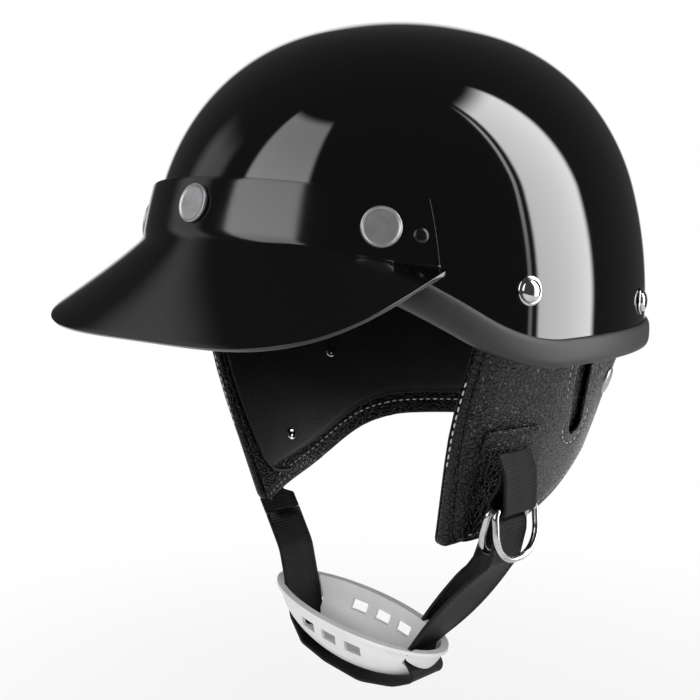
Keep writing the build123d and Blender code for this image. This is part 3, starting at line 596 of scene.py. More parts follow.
def stitch_tree():
    """Thread stitches at even steps along every line of the mesh, each lying across its surface."""
    tree, given, put = new_tree(
        "running_stitch",
        [
            ("Stitch Length", "NodeSocketFloat", 0.0026),
            ("Gap", "NodeSocketFloat", 0.0014),
            ("Thread Radius", "NodeSocketFloat", 0.0004),
            ("Seed", "NodeSocketInt", STITCH_SEED),
            ("Material", "NodeSocketMaterial", None),
        ],
    )
    length, radius = given["Stitch Length"], given["Thread Radius"]
    step = combine(tree, "ADD", length, given["Gap"])
    line = put("GeometryNodeMeshToCurve", {"Mesh": given["Geometry"]})
    dots = put("GeometryNodeResampleCurve", {"Curve": line, "Length": step}, mode="LENGTH")
    out = put("GeometryNodeInputNamedAttribute", {"Name": "out"}, data_type="FLOAT_VECTOR")
    align = "FunctionNodeAlignRotationToVector"
    laid = put(align, {"Vector": put("GeometryNodeInputTangent")}, axis="X")
    laid = put(align, {"Rotation": laid, "Vector": out}, axis="Z", pivot_axis="X")
    # Hand and needle: each stitch is turned a few degrees off its line.
    wobble = {0: (-0.05, -0.04, -0.10), 1: (0.05, 0.04, 0.10), "Seed": given["Seed"]}
    turn = put("FunctionNodeRandomValue", wobble, data_type="FLOAT_VECTOR")
    spin = put("FunctionNodeEulerToRotation", {0: turn})
    laid = put("FunctionNodeRotateRotation", {0: laid, 1: spin}, rotation_space="LOCAL")
    size = put("ShaderNodeCombineXYZ", {0: product(tree, length, 0.54), 1: radius, 2: radius})
    ball = put("GeometryNodeMeshUVSphere", {"Segments": 8, "Rings": 6, "Radius": 1.0})
    sewn = {"Points": dots, "Instance": ball, "Rotation": laid, "Scale": size}
    real = put("GeometryNodeRealizeInstances", {"Geometry": put("GeometryNodeInstanceOnPoints", sewn)})
    soft = put("GeometryNodeSetShadeSmooth", {"Geometry": real})
    done = put("GeometryNodeSetMaterial", {"Geometry": soft, "Material": given["Material"]})
    add(tree, "NodeGroupOutput", {"Geometry": done})
    return tree


def fitting_tree():
    """One turned part at every point of the mesh, its axis along the point's outward direction."""
    tree, given, put = new_tree(
        "seated_fittings",
        [
            ("Part", "NodeSocketObject", None),
            ("Size", "NodeSocketFloat", 1.0),
            ("Material", "NodeSocketMaterial", None),
        ],
    )
    part = add(tree, "GeometryNodeObjectInfo", {"Object": given["Part"]}).outputs["Geometry"]
    out = put("GeometryNodeInputNamedAttribute", {"Name": "out"}, data_type="FLOAT_VECTOR")
    turned = put("FunctionNodeAlignRotationToVector", {"Vector": out}, axis="Z")
    seated = {"Points": given["Geometry"], "Instance": part, "Rotation": turned, "Scale": given["Size"]}
    real = put("GeometryNodeRealizeInstances", {"Geometry": put("GeometryNodeInstanceOnPoints", seated)})
    done = put("GeometryNodeSetMaterial", {"Geometry": real, "Material": given["Material"]})
    add(tree, "NodeGroupOutput", {"Geometry": done})
    return tree


def run_tree(name, tree, points, outs, edges, values):
    """A plain mesh from a geometry tree that works on points with outward directions."""
    mesh = bpy.data.meshes.new(name + "_path")
    mesh.from_pydata((np.asarray(points, float) / 1000).tolist(), edges, [])
    layer = mesh.attributes.new("out", "FLOAT_VECTOR", "POINT")
    layer.data.foreach_set("vector", np.asarray(outs, np.float32).ravel())
    carrier = placed(name + "_path", mesh)
    modifier = carrier.modifiers.new(tree.name, "NODES")
    modifier.node_group = tree
    for socket in tree.interface.items_tree:
        if socket.in_out == "INPUT" and socket.name in values:
            modifier[socket.identifier] = values[socket.name]
    done = applied(carrier)
    bpy.data.objects.remove(carrier)
    if not done.polygons:
        raise RuntimeError(f"{name}: the geometry tree gave no faces")
    done.name = name
    for layer in [a for a in done.attributes if a.name == "out"]:
        done.attributes.remove(layer)
    if not done.materials:
        done.materials.append(values["Material"])
    return placed(name, done)


def stitches(name, lines, size=1.0, material="thread"):
    """Stitches along lines given as (points, outward directions), `size` times the thread of the seams."""
    given = bpy.context.scene.helmet_stitch
    points, outs, edges = [], [], []
    for dots, ways in lines:
        start = len(points)
        points += list(dots)
        outs += list(ways)
        edges += [(start + i, start + i + 1) for i in range(len(dots) - 1)]
    tree = bpy.data.node_groups.get("running_stitch") or stitch_tree()
    values = {
        "Stitch Length": size * given.length, "Gap": size * given.gap, "Thread Radius": size * given.radius,
        "Seed": STITCH_SEED, "Material": MATERIALS[material],
    }
    return run_tree(name, tree, points, outs, edges, values)


def fittings(name, profile, seats, material, count=40):
    """A turned part at every seat, where a seat is a place and its outward direction."""
    part = lathe(name + "_part", profile, MATERIALS[material], count)
    tree = bpy.data.node_groups.get("seated_fittings") or fitting_tree()
    places, outs = zip(*seats)
    values = {"Part": part, "Size": 1.0, "Material": MATERIALS[material]}
    piece = run_tree(name, tree, places, outs, [], values)
    bpy.data.objects.remove(part)
    return piece


# ---- soft forms ----
def least(*distances):
    return np.minimum.reduce(distances)


def round_edge(distance, reach):
    """Share of a sheet's full thickness at a distance from its edge."""
    x = np.clip(distance / reach, 0, 1)
    return np.sqrt(np.clip(1 - (1 - x) ** 2, 0.02, 1))


def curl(distance, reach):
    """From 1 at an edge to 0 at a reach from it."""
    return np.clip(1 - distance / reach, 0, 1) ** 2


def plump(distance, reach):
    """From 0 at an edge towards 1 well inside it."""
    return 1 - np.exp(-distance / reach)


def groove(distance, place, width):
    return np.exp(-(((distance - place) / width) ** 2))


def skirt_sheet(name, turn, level, front, back, material, side=1):
    """A closed piece of the skirt from the depths of its outer and its inner face."""
    skin = slab(skirt_point(turn, level, front, side), skirt_point(turn, level, back, side))
    return mesh_of(name, *skin, MATERIALS[material])


def skirt_line(places, depth, side):
    """A line on the skirt from (place, level) points, with its outward directions; a deep line lies on
    the inner side."""
    y, z = np.asarray(places, float).T
    turn = turn_of(y, z)
    inward = 1 if depth < PAD_DEPTH else -1
    return skirt_point(turn, z, depth + 0 * turn, side), inward * skirt_out(turn, side)


def skirt_seat(place, level, depth, side, lift=0.0, inward=False):
    """A place on the skirt for a fitting, and its outward direction."""
    turn, level = np.array(float(turn_of(place, level))), np.array(float(level))
    out = skirt_out(turn, side) * (-1 if inward else 1)
    return skirt_point(turn, level, depth, side) + out * lift, out


def applied(piece):
    """The mesh that a piece's modifiers give."""
    bpy.context.view_layer.update()
    done = bpy.data.meshes.new_from_object(piece.evaluated_get(bpy.context.evaluated_depsgraph_get()))
    piece.modifiers.clear()
    return done


def cut(piece, cutter):
    """Cuts one closed mesh out of another."""
    modifier = piece.modifiers.new("cut", "BOOLEAN")
    modifier.operation, modifier.object, modifier.solver = "DIFFERENCE", cutter, "EXACT"
    piece.data = applied(piece)
    bpy.data.objects.remove(cutter)


def slot_line(margin):
    """The ear slot's outline, a margin outside its edge, seen from the side."""
    lean, half, radius, count = radians(107), 14.5, 6.5 + margin, 22
    along_slot, across = np.array([cos(lean), sin(lean)]), np.array([-sin(lean), cos(lean)])
    dots = []
    for end, start in ((-1, 0), (1, pi)):
        for k in range(count + 1):
            a = start + pi * k / count
            dots.append(SLOT + along_slot * (end * half - radius * sin(a)) + across * radius * cos(a))
    return np.array(dots)


def leather_sheet(word, turn, level, edges, curled, waves, sewn, side=1):
    """Outer leather: puffed between its seams, curled at free edges, and sunk along its stitches."""
    fore, aft, up, low = edges
    near = least(fore, aft, low)
    half = LEATHER_HALF * round_edge(least(near, up), LEATHER_HALF)
    puff = 1.3 * plump(near, 12) + waves * plump(near, 10)
    middle = LEATHER_HALF + curled + curl(low, 8) - puff + 0.55 * groove(low, HEM_ROW, 1.3) + sewn
    return skirt_sheet(f"{word}_leather_sheet", turn, level, middle - half, middle + half, "leather", side)


def backing(word, patches, free, side=1):
    """The layers behind a leather, each on its own patch: padding, facing and lining panel. `free` is 1
    where the patch's first edge is a free one, and 0 where it is a seam."""
    turn, level, (fore, aft, up, low) = patches[0]
    half = 3.55 * round_edge(least(fore, aft, up, low), 3.2)
    middle = PAD_DEPTH + free * 0.8 * curl(fore, 9)
    piece = skirt_sheet(f"{word}_pad", turn, level, middle - half, middle + half, "leather", side)
    dress(piece, "helmet", [f"{word}_padding"], "skirt_padding")

    turn, level, (fore, aft, up, low) = patches[1]
    half = 0.65 * round_edge(least(fore, aft, up, low), 0.7)
    middle = FACING_DEPTH - 0.7 * curl(low, 5) + 0.4 * groove(low, INNER_ROW, 1.4)
    piece = skirt_sheet(f"{word}_facing", turn, level, middle - half, middle + half, "leather", side)
    dress(piece, "helmet", [f"{word}_binding"], "binding_leather")

    turn, level, (fore, aft, up, low) = patches[2]
    half = 0.55 * round_edge(least(fore, aft, up, low), 0.8)
    middle = PANEL_DEPTH + 1.5 * plump(least(fore, low) if free else low, 10) - 0.35 * groove(low, 2.0, 1.2)
    outer, inner = middle - half - 0.3, middle + half
    piece = skirt_sheet(f"{word}_lining_panel", turn, level, outer, inner, "lining", side)
    dress(piece, "helmet", [f"{word}_lining"], "lining_leather")


def ear_flap(side, word):
    """One ear flap: outer leather, padding, inner facing, lining panel, piping and all its stitches."""
    word = f"{word}_ear"
    y, z, edges = patch(*flap_outline(0, LEATHER_CORNERS, LEATHER_ROUNDS), SKIRT_SEAM, 9, 1.5)
    slot_row = slot_line(5.0)
    off_row = np.linalg.norm(np.stack([y, z], -1)[:, :, None] - slot_row[None, None], axis=-1).min(-1)
    sewn = 0.5 * groove(edges[1], 4.0, 1.2) + 0.5 * groove(off_row, 0, 1.4)
    waves = 0.5 * np.sin(y / 7 + z / 11) * np.sin(z / 9)
    piece = leather_sheet(word, turn_of(y, z), z, edges, 1.7 * curl(edges[0], 9), waves, sewn, side)
    edge_y, edge_z = slot_line(0).T
    loops = [skirt_point(turn_of(edge_y, edge_z), edge_z, depth, side) for depth in (-6.0, 7.0)]
    skin = rings(loops, np.mean(loops[0], 0), np.mean(loops[1], 0))
    cut(piece, mesh_of("slot_cutter", *skin, MATERIALS["leather"]))
    dress(piece, "helmet", [f"{word}_leather"], "skirt_leather")

    panel_front, panel_hem = flap_outline(0, PANEL_CORNERS, PANEL_ROUNDS)
    patches = []
    for outline, seam, top_up, step in (
        (flap_outline(0.6), SKIRT_SEAM - 0.4, 8, 2.6),
        (flap_outline(0.2), SKIRT_SEAM, 9, 2.0),
        ((panel_front, panel_hem), SKIRT_SEAM, 9, 2.2),
    ):
        y, z, edges = patch(*outline, seam, top_up, step)
        patches.append((turn_of(y, z), z, edges))
    backing(word, patches, 1, side)

    piping = panel_front[(panel_front[:, 1] < -14) & (panel_front[:, 1] > -88)]
    line = along(np.vstack([piping, PIPING_TAIL]), np.linspace(0, 1, 90))
    skin = tube(skirt_line(line, 12.1, side)[0], 1.15, 10, closed=False)
    dress(mesh_of(f"{word}_piping", *skin, MATERIALS["lining"]), "helmet", (), "lining_leather")

    rows = []

    def sew(line, count, depth):
        rows.append(skirt_line(along(line, np.linspace(0, 1, count)), depth, side))

    def hem_row(margin, first, last, *shape):
        """The hem's line, a margin inside it, between two places."""
        hem = along(flap_outline(margin, *shape)[1], np.linspace(0, 1, 240))
        return hem[(hem[:, 0] > first) & (hem[:, 0] < last)]

    sew(hem_row(HEM_ROW, -38, SKIRT_SEAM - 4, LEATHER_CORNERS, LEATHER_ROUNDS), 90, 0.05)
    sew([(SKIRT_SEAM - 4, -22), (SKIRT_SEAM - 4, -64)], 30, 0.0)
    u_row = slot_row[slot_row[:, 1] < -24]
    off = u_row - (SLOT + [0, 2])
    sew(u_row[np.argsort(np.arctan2(off[:, 0], -off[:, 1]))], 60, -0.85)
    sew(hem_row(INNER_ROW, -30, SKIRT_SEAM - 1), 90, 11.5)
    sew(hem_row(3.6, -100, -20), 30, 11.25)
    front = flap_outline(0.7)[0]
    sew(front[(front[:, 1] < -26) & (front[:, 1] > -100)], 60, 5.6)
    rows[-1] = (rows[-1][0] - [0, 0.55, 0], np.tile([0.25 * side, -1.0, 0.0], (60, 1)))
    dress(stitches(f"{word}_stitches", rows), "helmet")


def nape_patch(margin, top_up, step):
    """The nape curtain's patch, from seam to seam round the back, as turn and level."""
    hem_line = flap_outline(margin)[1]
    seam, tall = SKIRT_SEAM - 0.4, 52
    start = asin(seam / float(skirt_reach(-45)))
    span = (pi - 2 * start) * 105
    u, v = spread(span, step), spread(tall, step)
    turn = (start + (pi - 2 * start) * u)[None, :] + 0 * v[:, None]
    place = SKIRT_REACH * 0.9 * np.sin(turn)
    high = rim(place, top_up)
    low_level = np.interp(place, hem_line[:, 0], hem_line[:, 1])
    level = high + (low_level - high) * v[:, None]
    lean = np.arcsin(np.clip(seam / skirt_reach(level), -1, 1))
    turn = lean + (pi - 2 * lean) * u[None, :]
    U, V = u[None, :] + 0 * turn, v[:, None] + 0 * turn
    return turn, level, (U * span, (1 - U) * span, V * tall, (1 - V) * tall)


# ---- webbing ----
def webbing(name, route, rounds, turn_at=None, tab=None):
    """Flat webbing along a route of (outward, upward) points in the strap's plane. `turn_at` gives
    where, how far and about which line it is twisted; above the level `tab` it is half as wide."""
    line = rounded(route, rounds, radians(8))
    way = run_of(line)
    shares = [0.0]
    for share in np.sort(np.r_[way / way[-1], np.linspace(0, 1, 60)]):
        if share - shares[-1] > 0.0015:
            shares.append(share)
    shares[-1] = 1.0
    line = along(line, shares)
    way = unit(np.gradient(line, axis=0))
    left = np.stack([-way[:, 1], way[:, 0]], -1)
    run = run_of(line)
    # The section: flat between two raised selvedges.
    across = np.array([-1, -0.985, -0.93, -0.9, -0.3, 0.3, 0.9, 0.93, 0.985, 1]) * STRAP_WIDTH / 2
    thick = np.array([0.35, 0.8, 1.0, 0.86, 0.84, 0.84, 0.86, 1.0, 0.8, 0.35]) * STRAP_WALL / 2
    loop = [*zip(across, thick), *zip(across[::-1], -thick[::-1])]
    loops, uv = [], []
    for spot, out, s in zip(line, left, run):
        loops.append([(spot[0] + out[0] * t, STRAP_Y + c, spot[1] + out[1] * t) for c, t in loop])
        uv += [(s, c) for c, t in loop]
    first, last = line[0] - way[0] * 0.2, line[-1] + way[-1] * 0.2
    verts, faces = rings(loops, (first[0], STRAP_Y, first[1]), (last[0], STRAP_Y, last[1]))
    if tab:
        verts = np.array(verts)
        verts[:, 1] = STRAP_Y + (verts[:, 1] - STRAP_Y) * (1 - 0.5 * np.clip((verts[:, 2] - tab) / 2.5, 0, 1))
    if turn_at:
        verts = twisted(np.array(verts), *turn_at)
    uv += [(run[0], 0), (run[-1], 0)]
    return mesh_of(name, verts, faces, MATERIALS["webbing"], uv=uv)


def twisted(verts, top, foot, angle, reach=9.0):
    """Turns what lies along the way from `top` to `foot`, most in its middle, about that way."""
    top, foot = np.array([top[0], STRAP_Y, top[1]]), np.array([foot[0], STRAP_Y, foot[1]])
    length = np.linalg.norm(foot - top)
    down = (foot - top) / length
    gap = verts - top
    share = gap @ down / length
    flat = gap - np.outer(gap @ down, down)
    near = np.abs(flat @ np.cross(down, (0, 1, 0))) < reach
    turn = angle * np.where(near, np.sin(pi * np.clip(share, 0, 1)), 0)[:, None]
    return verts + flat * (np.cos(turn) - 1) + np.cross(down, flat) * np.sin(turn)


CUP_X, CUP_Z, CUP_HALF, CUP_DEEP, CUP_TILT = -4.0, -160.0, 55.0, 28.0, radians(8)


def cup_dot(a, b):
    """A place in the cup's own plane, from shares of its half length and depth."""
    x, z = a * CUP_HALF, b * CUP_DEEP
    return CUP_X + x * cos(CUP_TILT) + z * sin(CUP_TILT), CUP_Z - x * sin(CUP_TILT) + z * cos(CUP_TILT)


def cheek(level):
    """How far out the leather's outer face lies at the strap."""
    return NARROW * sqrt(float(skirt_reach(level)) ** 2 - STRAP_Y**2)


WEB_START = cheek(-61.8) + 3.95
WEB, FOLD, BEND = WEB_START + 4.3, WEB_START - 4.6, RING_LEVEL - 27.0
HEM_TOP, HEM_BEND = cheek(-97.0) - 4.75, cheek(-106.0) - 4.75
JOIN, JOIN_LEVEL = 10.5 - HEM_TOP, -118.0
UNDER_CUP = ((-0.5, -0.97), (-0.18, -1.08), (0.28, -1.08), (0.68, -0.84), (0.93, -0.53))


def strap_route():
    """The chin strap from the wearer's right, through the cup and the rings, to its free end."""
    way_in, way_out = cup_dot(-0.75, -0.2), np.array(cup_dot(0.76, -0.2))
    sag = (JOIN + (way_in[0] - JOIN) * 0.42 + 3.5, JOIN_LEVEL + (way_in[1] - JOIN_LEVEL) * 0.42)
    bend = np.array([FOLD, BEND])
    fall = unit(way_out - bend)
    off = np.array([fall[1], -fall[0]])
    low, high = RING_LEVEL - 13.1, RING_LEVEL - 5.9
    through_cup = [way_in, cup_dot(-0.68, -0.6), *(cup_dot(*share) for share in UNDER_CUP), way_out]
    round_bars = [(FOLD + 3.6, low), (FOLD + 3.6, high), (FOLD - 3.6, high), (FOLD - 3.6, low)]
    tail = [bend + fall * 3.5 + off * 7.6, bend + (way_out - bend) * 0.69 + off * 3.95]
    return [(JOIN, JOIN_LEVEL), sag, *through_cup, bend, *round_bars, *tail]


STRAP_ROUTE = strap_route()
STRAP_ROUNDS = [24, 12, 4, 4, 24, 24, 24, 4, 4, 4, 12, 3.4, 3.4, 12, 4]
RING_ROUTE = [
    (WEB_START, -61.8), (WEB, -71.0), (WEB, RING_LEVEL - 2.8), (WEB - 8.9, RING_LEVEL - 2.8),
    (WEB - 8.9, RING_LEVEL + 3), (WEB - 2.9, RING_LEVEL + 12), (WEB - 2.9, RING_LEVEL + 17.5),
]
RING_ROUNDS = [12, 3.2, 3.2, 3.2, 12]


def d_ring(name, out, swing):
    """A wire ring: a straight bar in the webbing's fold and a round side below it."""
    half, depth, wire = 15.1, 24.0, 1.6
    side = rounded([(0, 0), (half, 0), (half, -depth), (0, -depth)], [2 * wire, half - wire], radians(6))
    flat = np.vstack([side, (side * [-1, 1])[::-1][1:-1]])
    turn = radians(swing)
    points = [(out + v * sin(turn), STRAP_Y + u, RING_LEVEL + v * cos(turn)) for u, v in flat]
    points = along(np.vstack([points, points[:1]]), np.linspace(0, 1, 97))[:-1]
    return mesh_of(name, *tube(points, wire, 16), MATERIALS["wire"])


# ---- settings ----
class HelmetShellSettings(bpy.types.PropertyGroup):
    """Resolution of the hard parts."""
    columns: bpy.props.IntProperty(
        name="Columns", description="Faces round the shell", default=256, min=64, max=512
    )
    rows: bpy.props.IntProperty(
        name="Rows", description="Faces from crown to rim", default=84, min=24, max=200
    )
    trim_roundness: bpy.props.FloatProperty(
        name="Trim Roundness", description="How square the rubber trim's section is, 2 is an ellipse",
        default=2.7, min=2.0, max=8.0,
    )


class HelmetStitchSettings(bpy.types.PropertyGroup):
    """Thread and stitch sizes."""
    length: bpy.props.FloatProperty(
        name="Stitch Length", description="Length of one stitch", default=0.0026,
        subtype="DISTANCE", unit="LENGTH",
    )
    gap: bpy.props.FloatProperty(
        name="Gap", description="Leather between two stitches", default=0.0014,
        subtype="DISTANCE", unit="LENGTH",
    )
    radius: bpy.props.FloatProperty(
        name="Thread Radius", description="Radius of the thread", default=0.00042,
        subtype="DISTANCE", unit="LENGTH",
    )


class HelmetStrapSettings(bpy.types.PropertyGroup):
    """Lie of the chin strap."""
    strap_twist: bpy.props.FloatProperty(
        name="Strap Twist", description="How far the strap turns to the front between rings and cup",
        default=radians(13), min=-radians(60), max=radians(60), subtype="ANGLE", unit="ROTATION",
    )


class HelmetStageSettings(bpy.types.PropertyGroup):
    """Camera, floor and light."""
    azimuth: bpy.props.FloatProperty(
        name="Azimuth", description="Camera's way round from the front", default=radians(44),
        subtype="ANGLE", unit="ROTATION",
    )
    elevation: bpy.props.FloatProperty(
        name="Elevation", description="Camera's height above the horizon", default=radians(7.5),
        subtype="ANGLE", unit="ROTATION",
    )
    distance: bpy.props.FloatProperty(
        name="Distance", description="From the camera to the point it looks at", default=0.62,
        subtype="DISTANCE", unit="LENGTH",
    )
    lens: bpy.props.FloatProperty(name="Lens", description="Focal length on a 36 mm sensor", default=61.45)
    floor_drop: bpy.props.FloatProperty(
        name="Floor Drop", description="Floor below the helmet's lowest point", default=0.06,
        subtype="DISTANCE", unit="LENGTH",
    )
    floor_colour: bpy.props.FloatVectorProperty(
        name="Floor Colour", description="Colour of the floor", default=(0.9, 0.9, 0.9),
        subtype="COLOR", min=0, max=1,
    )


# ---- operators ----
def repaint(node, material):
    """Gives a CAD node that stays as it is its finish."""
    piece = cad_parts[node]
    piece.data.materials.clear()
    piece.data.materials.append(MATERIALS[material])


class HELMET_OT_shell(bpy.types.Operator):
    """Builds the painted shell and the rubber edge trim"""
    bl_idname = "helmet.shell"
    bl_label = "Shell and Trim"

    def execute(self, context):
        given = context.scene.helmet_shell
        angle = circle(given.columns)
        share = np.linspace(0, 1, given.rows + 1)[1:]
        loops = [dome(angle, rim_way(angle, 0, TRIM_WEB) * t, 0) for t in share]
        loops += [dome(angle, rim_way(angle, -SHELL_WALL, TRIM_WEB) * t, -SHELL_WALL) for t in share[::-1]]
        skin = rings(loops, (0, 0, CROWN), (0, 0, CROWN - SHELL_WALL))
        shell = mesh_of("painted_shell", *skin, MATERIALS["paint"])
        dress(shell, "helmet", ["outer_shell"], "shell_paint")

        # The trim's section: a squared-off bulge on either side of the shell's wall, with the slot between.
        angle = circle(2 * given.columns)
        power, half, gap = 2 / given.trim_roundness, TRIM_HEIGHT / 2, 0.15
        section = []
        bulges = ((14, gap, TRIM_PROUD - gap, 1), (12, -SHELL_WALL - gap, -TRIM_LEG, -1))
        for steps, root, swell, way in bulges:
            for k in range(steps + 1):
                a = pi * k / steps
                high = half + way * half * copysign(abs(cos(a)) ** power, cos(a))
                section.append((root + swell * sin(a) ** power, high))
        section += [(-SHELL_WALL - 0.1, TRIM_WEB), (0.1, TRIM_WEB)]
        skin = rings([dome(angle, rim_way(angle, out, up), out) for out, up in section], closed=True)
        trim = mesh_of("rubber_edge_trim", *skin, MATERIALS["rubber"])
        dress(trim, "helmet", ["edge_trim"], "edge_rubber")
        repaint("foam_liner", "foam")
        return {"FINISHED"}


class HELMET_OT_pads(bpy.types.Operator):
    """Builds the crown pad and the sweatband"""
    bl_idname = "helmet.pads"
    bl_label = "Comfort Pads"

    def execute(self, context):
        lobes, channel_way, pad_end = 6, 30.0, 64.0
        angle = circle(192)
        last = down_to(pad_end, FOAM_FACE)
        outer, inner = [], []
        for way in last * spread(float(last), 4.0)[1:]:
            edge = round_edge(last - way, 4.0)
            off_channel = np.abs((angle * lobes / (2 * pi) + 0.5) % 1 - 0.5) * way * 2 * pi / lobes
            channel = 1 - 0.5 * groove(off_channel, 0, 3.0) * np.clip(way / 26, 0, 1)
            channel = channel * (1 - 0.5 * groove(way, channel_way, 3.0))
            outer.append(dome(angle, way, FOAM_FACE - 0.4 * (1 - edge)))
            inner.append(dome(angle, way, FOAM_FACE - PAD_WALL * edge * channel))
        top = CROWN + FOAM_FACE
        skin = rings(outer + inner[::-1], (0, 0, top), (0, 0, top - PAD_WALL * 0.8))
        piece = mesh_of("crown_comfort_pad", *skin, MATERIALS["tricot"])
        dress(piece, "helmet", ["crown_pad"], "pad_cloth")

        cells, tall, foot = 10, 29.0, 13.0
        angle = circle(288)
        seam = 1 - 0.55 * groove(np.abs((angle * cells / (2 * pi)) % 1 - 0.5) * 68, 0, 2.4)
        outer, inner = [], []
        for t in spread(tall, 1.8):
            up = foot + tall * t
            wall = PAD_WALL * round_edge(min(t, 1 - t) * tall, 4.5) * seam * 1.05
            outer.append(dome(angle, rim_way(angle, FOAM_FACE, up), FOAM_FACE))
            inner.append(dome(angle, rim_way(angle, -FOAM_INNER - 3, up), FOAM_FACE - wall))
        skin = rings(outer + inner[::-1], closed=True)
        piece = mesh_of("forehead_sweatband", *skin, MATERIALS["tricot"])
        dress(piece, "helmet", ["sweatband"], "pad_cloth")
        return {"FINISHED"}


class HELMET_OT_peak(bpy.types.Operator):
    """Builds the moulded peak: its band and its brim"""
    bl_idname = "helmet.peak"
    bl_label = "Peak"

    def execute(self, context):
        turn = np.linspace(-1, 1, 1601)

        def level_line(high, low):
            """A line round the band, from a level at its front to one at its ends."""
            level = np.full(turn.shape, (high + low) / 2)
            for _ in range(20):
                reach = meridian(down_to(level, BAND_OUT), BAND_OUT)[0]
                angle = turn * np.arccos(np.clip(BAND_END / reach, -1, 1))
                level = low + (high - low) / (BAND_FRONT - BAND_END) * (reach * np.cos(angle) - BAND_END)
            return angle, level

        angle, level = level_line(*CREASE)
        reach = meridian(down_to(level, BAND_OUT), BAND_OUT)[0]
        crease = np.stack([reach * np.sin(angle), -reach * np.cos(angle), level], -1)
        top_level = level_line(*BAND_TOP)[1]
        shares = np.linspace(0, 1, PEAK_COLUMNS)
        way = run_of(crease)
        bend = np.linspace(-pi / 2, pi / 2, 2001)
        x = BRIM_HALF * np.sign(np.sin(bend)) * np.abs(np.sin(bend)) ** BRIM_POWER / NARROW
        y = -BRIM_END - BRIM_REACH * np.abs(np.cos(bend)) ** BRIM_POWER
        edge = np.stack([x, y, BRIM_TIP + (y + (BRIM_END + BRIM_REACH)) / BRIM_REACH * BRIM_RISE], -1)
        columns = []
        # Band, fold and brim have the same number of rows in every column, so the rows run smoothly.
        spots = np.interp(shares * way[-1], way, turn)
        for root, tip, spot in zip(along(crease, shares), along(edge, shares), spots):
            high = np.interp(spot, turn, top_level)
            band = []
            for level in high + (root[2] - high) * np.linspace(0, 1, BAND_ROWS):
                reach = float(meridian(down_to(level, BAND_OUT), BAND_OUT)[0])
                a = spot * acos(min(1, BAND_END / reach))
                band.append((reach * sin(a), -reach * cos(a), level))
            brim_length = float(np.linalg.norm(tip - root))
            bend_size = min(3.0, 0.4 * brim_length)
            band = along(band, np.linspace(0, 1 - bend_size / run_of(band)[-1], BAND_ROWS))
            w = np.linspace(0, 1, FOLD_ROWS + 1)[1:, None]
            start = root + (tip - root) * bend_size / brim_length
            fold = (1 - w) ** 2 * band[-1] + 2 * w * (1 - w) * root + w**2 * start
            brim = start + (tip - start) * np.linspace(0, 1, BRIM_ROWS + 1)[1:, None]
            columns.append(np.vstack([band, fold, brim]))
        grid = np.array(columns).transpose(1, 0, 2)
        grid[..., 0] *= NARROW
        normal = unit(np.cross(np.gradient(grid, axis=0), np.gradient(grid, axis=1)))
        if normal[len(grid) // 3, PEAK_COLUMNS // 2, 1] > 0:
            normal = -normal
        piece = mesh_of("moulded_peak", *slab(grid + normal, grid - normal), MATERIALS["abs"])
        bevel = piece.modifiers.new("edge", "BEVEL")
        bevel.width, bevel.segments, bevel.limit_method, bevel.angle_limit = 0.0006, 3, "ANGLE", radians(50)
        bevel.harden_normals = False
        dress(piece, "peak", ["peak"], "peak_plastic")
        return {"FINISHED"}


# Sections of the turned parts, from (radius, height) points.
RIVET = [
    (0, 2.2), (1.6, 2.12), (3.1, 1.8), (4.3, 1.2), (5.0, 0.5), (5.2, 0), (2.0, 0), (2.0, -5.2), (0, -5.2),
]
WASHER = [(2.1, 0.9), (6.1, 0.9), (6.5, 0.6), (6.6, 0.3), (6.6, 0), (2.1, 0)]
BURR = [(2.3, 0), (4.8, 0), (5.0, -0.3), (5.0, -0.8), (4.8, -1.0), (2.3, -1.0)]
PEAK_CAP = [
    (0, 1.42), (3.0, 1.4), (6.4, 1.3), (7.5, 1.24), (7.75, 1.45), (8.15, 1.68), (8.5, 1.5), (8.7, 1.1),
    (8.7, 0.1), (8.3, 0), (0, 0),
]
SOCKET = [(4.6, 0), (6.1, 0), (6.4, -0.3), (6.4, -0.9), (6.1, -1.1), (4.6, -1.1)]
STUD = [(0, 1.5), (1.5, 1.45), (2.0, 1.1), (1.8, 0.7), (2.0, 0.5), (3.2, 0.45), (3.4, 0.2), (3.4, 0), (0, 0)]
KNOB = [(0, 1.1), (1.8, 1.0), (2.8, 0.65), (3.3, 0.25), (3.4, 0), (0, 0)]
FLAP_CAP = [(0, 1.35), (4.0, 1.3), (5.6, 1.15), (6.5, 0.8), (6.9, 0.2), (6.9, -0.6), (0, -0.6)]
SMALL_SNAP = [
    (0, 0.9), (1.0, 0.85), (1.35, 0.55), (1.6, 0.5), (2.3, 0.95), (2.9, 0.9), (3.3, 0.5), (3.4, 0), (0, -0.4),
]
# Places of the fittings: rivets from the side, snaps by angle, each with its level.
RIVET_PLACES = (-42.4, 13.2), (55.3, 2.3)
SNAP_PLACES = (0.0, 50.5), (radians(42.5), 41.0), (-radians(42.5), 41.0)
END_PLACE, END_LEVEL = 90.0, 37.5
METALS = {"rivet_chrome": "chrome", "snap_steel": "satin", "black_rivet": "enamel"}


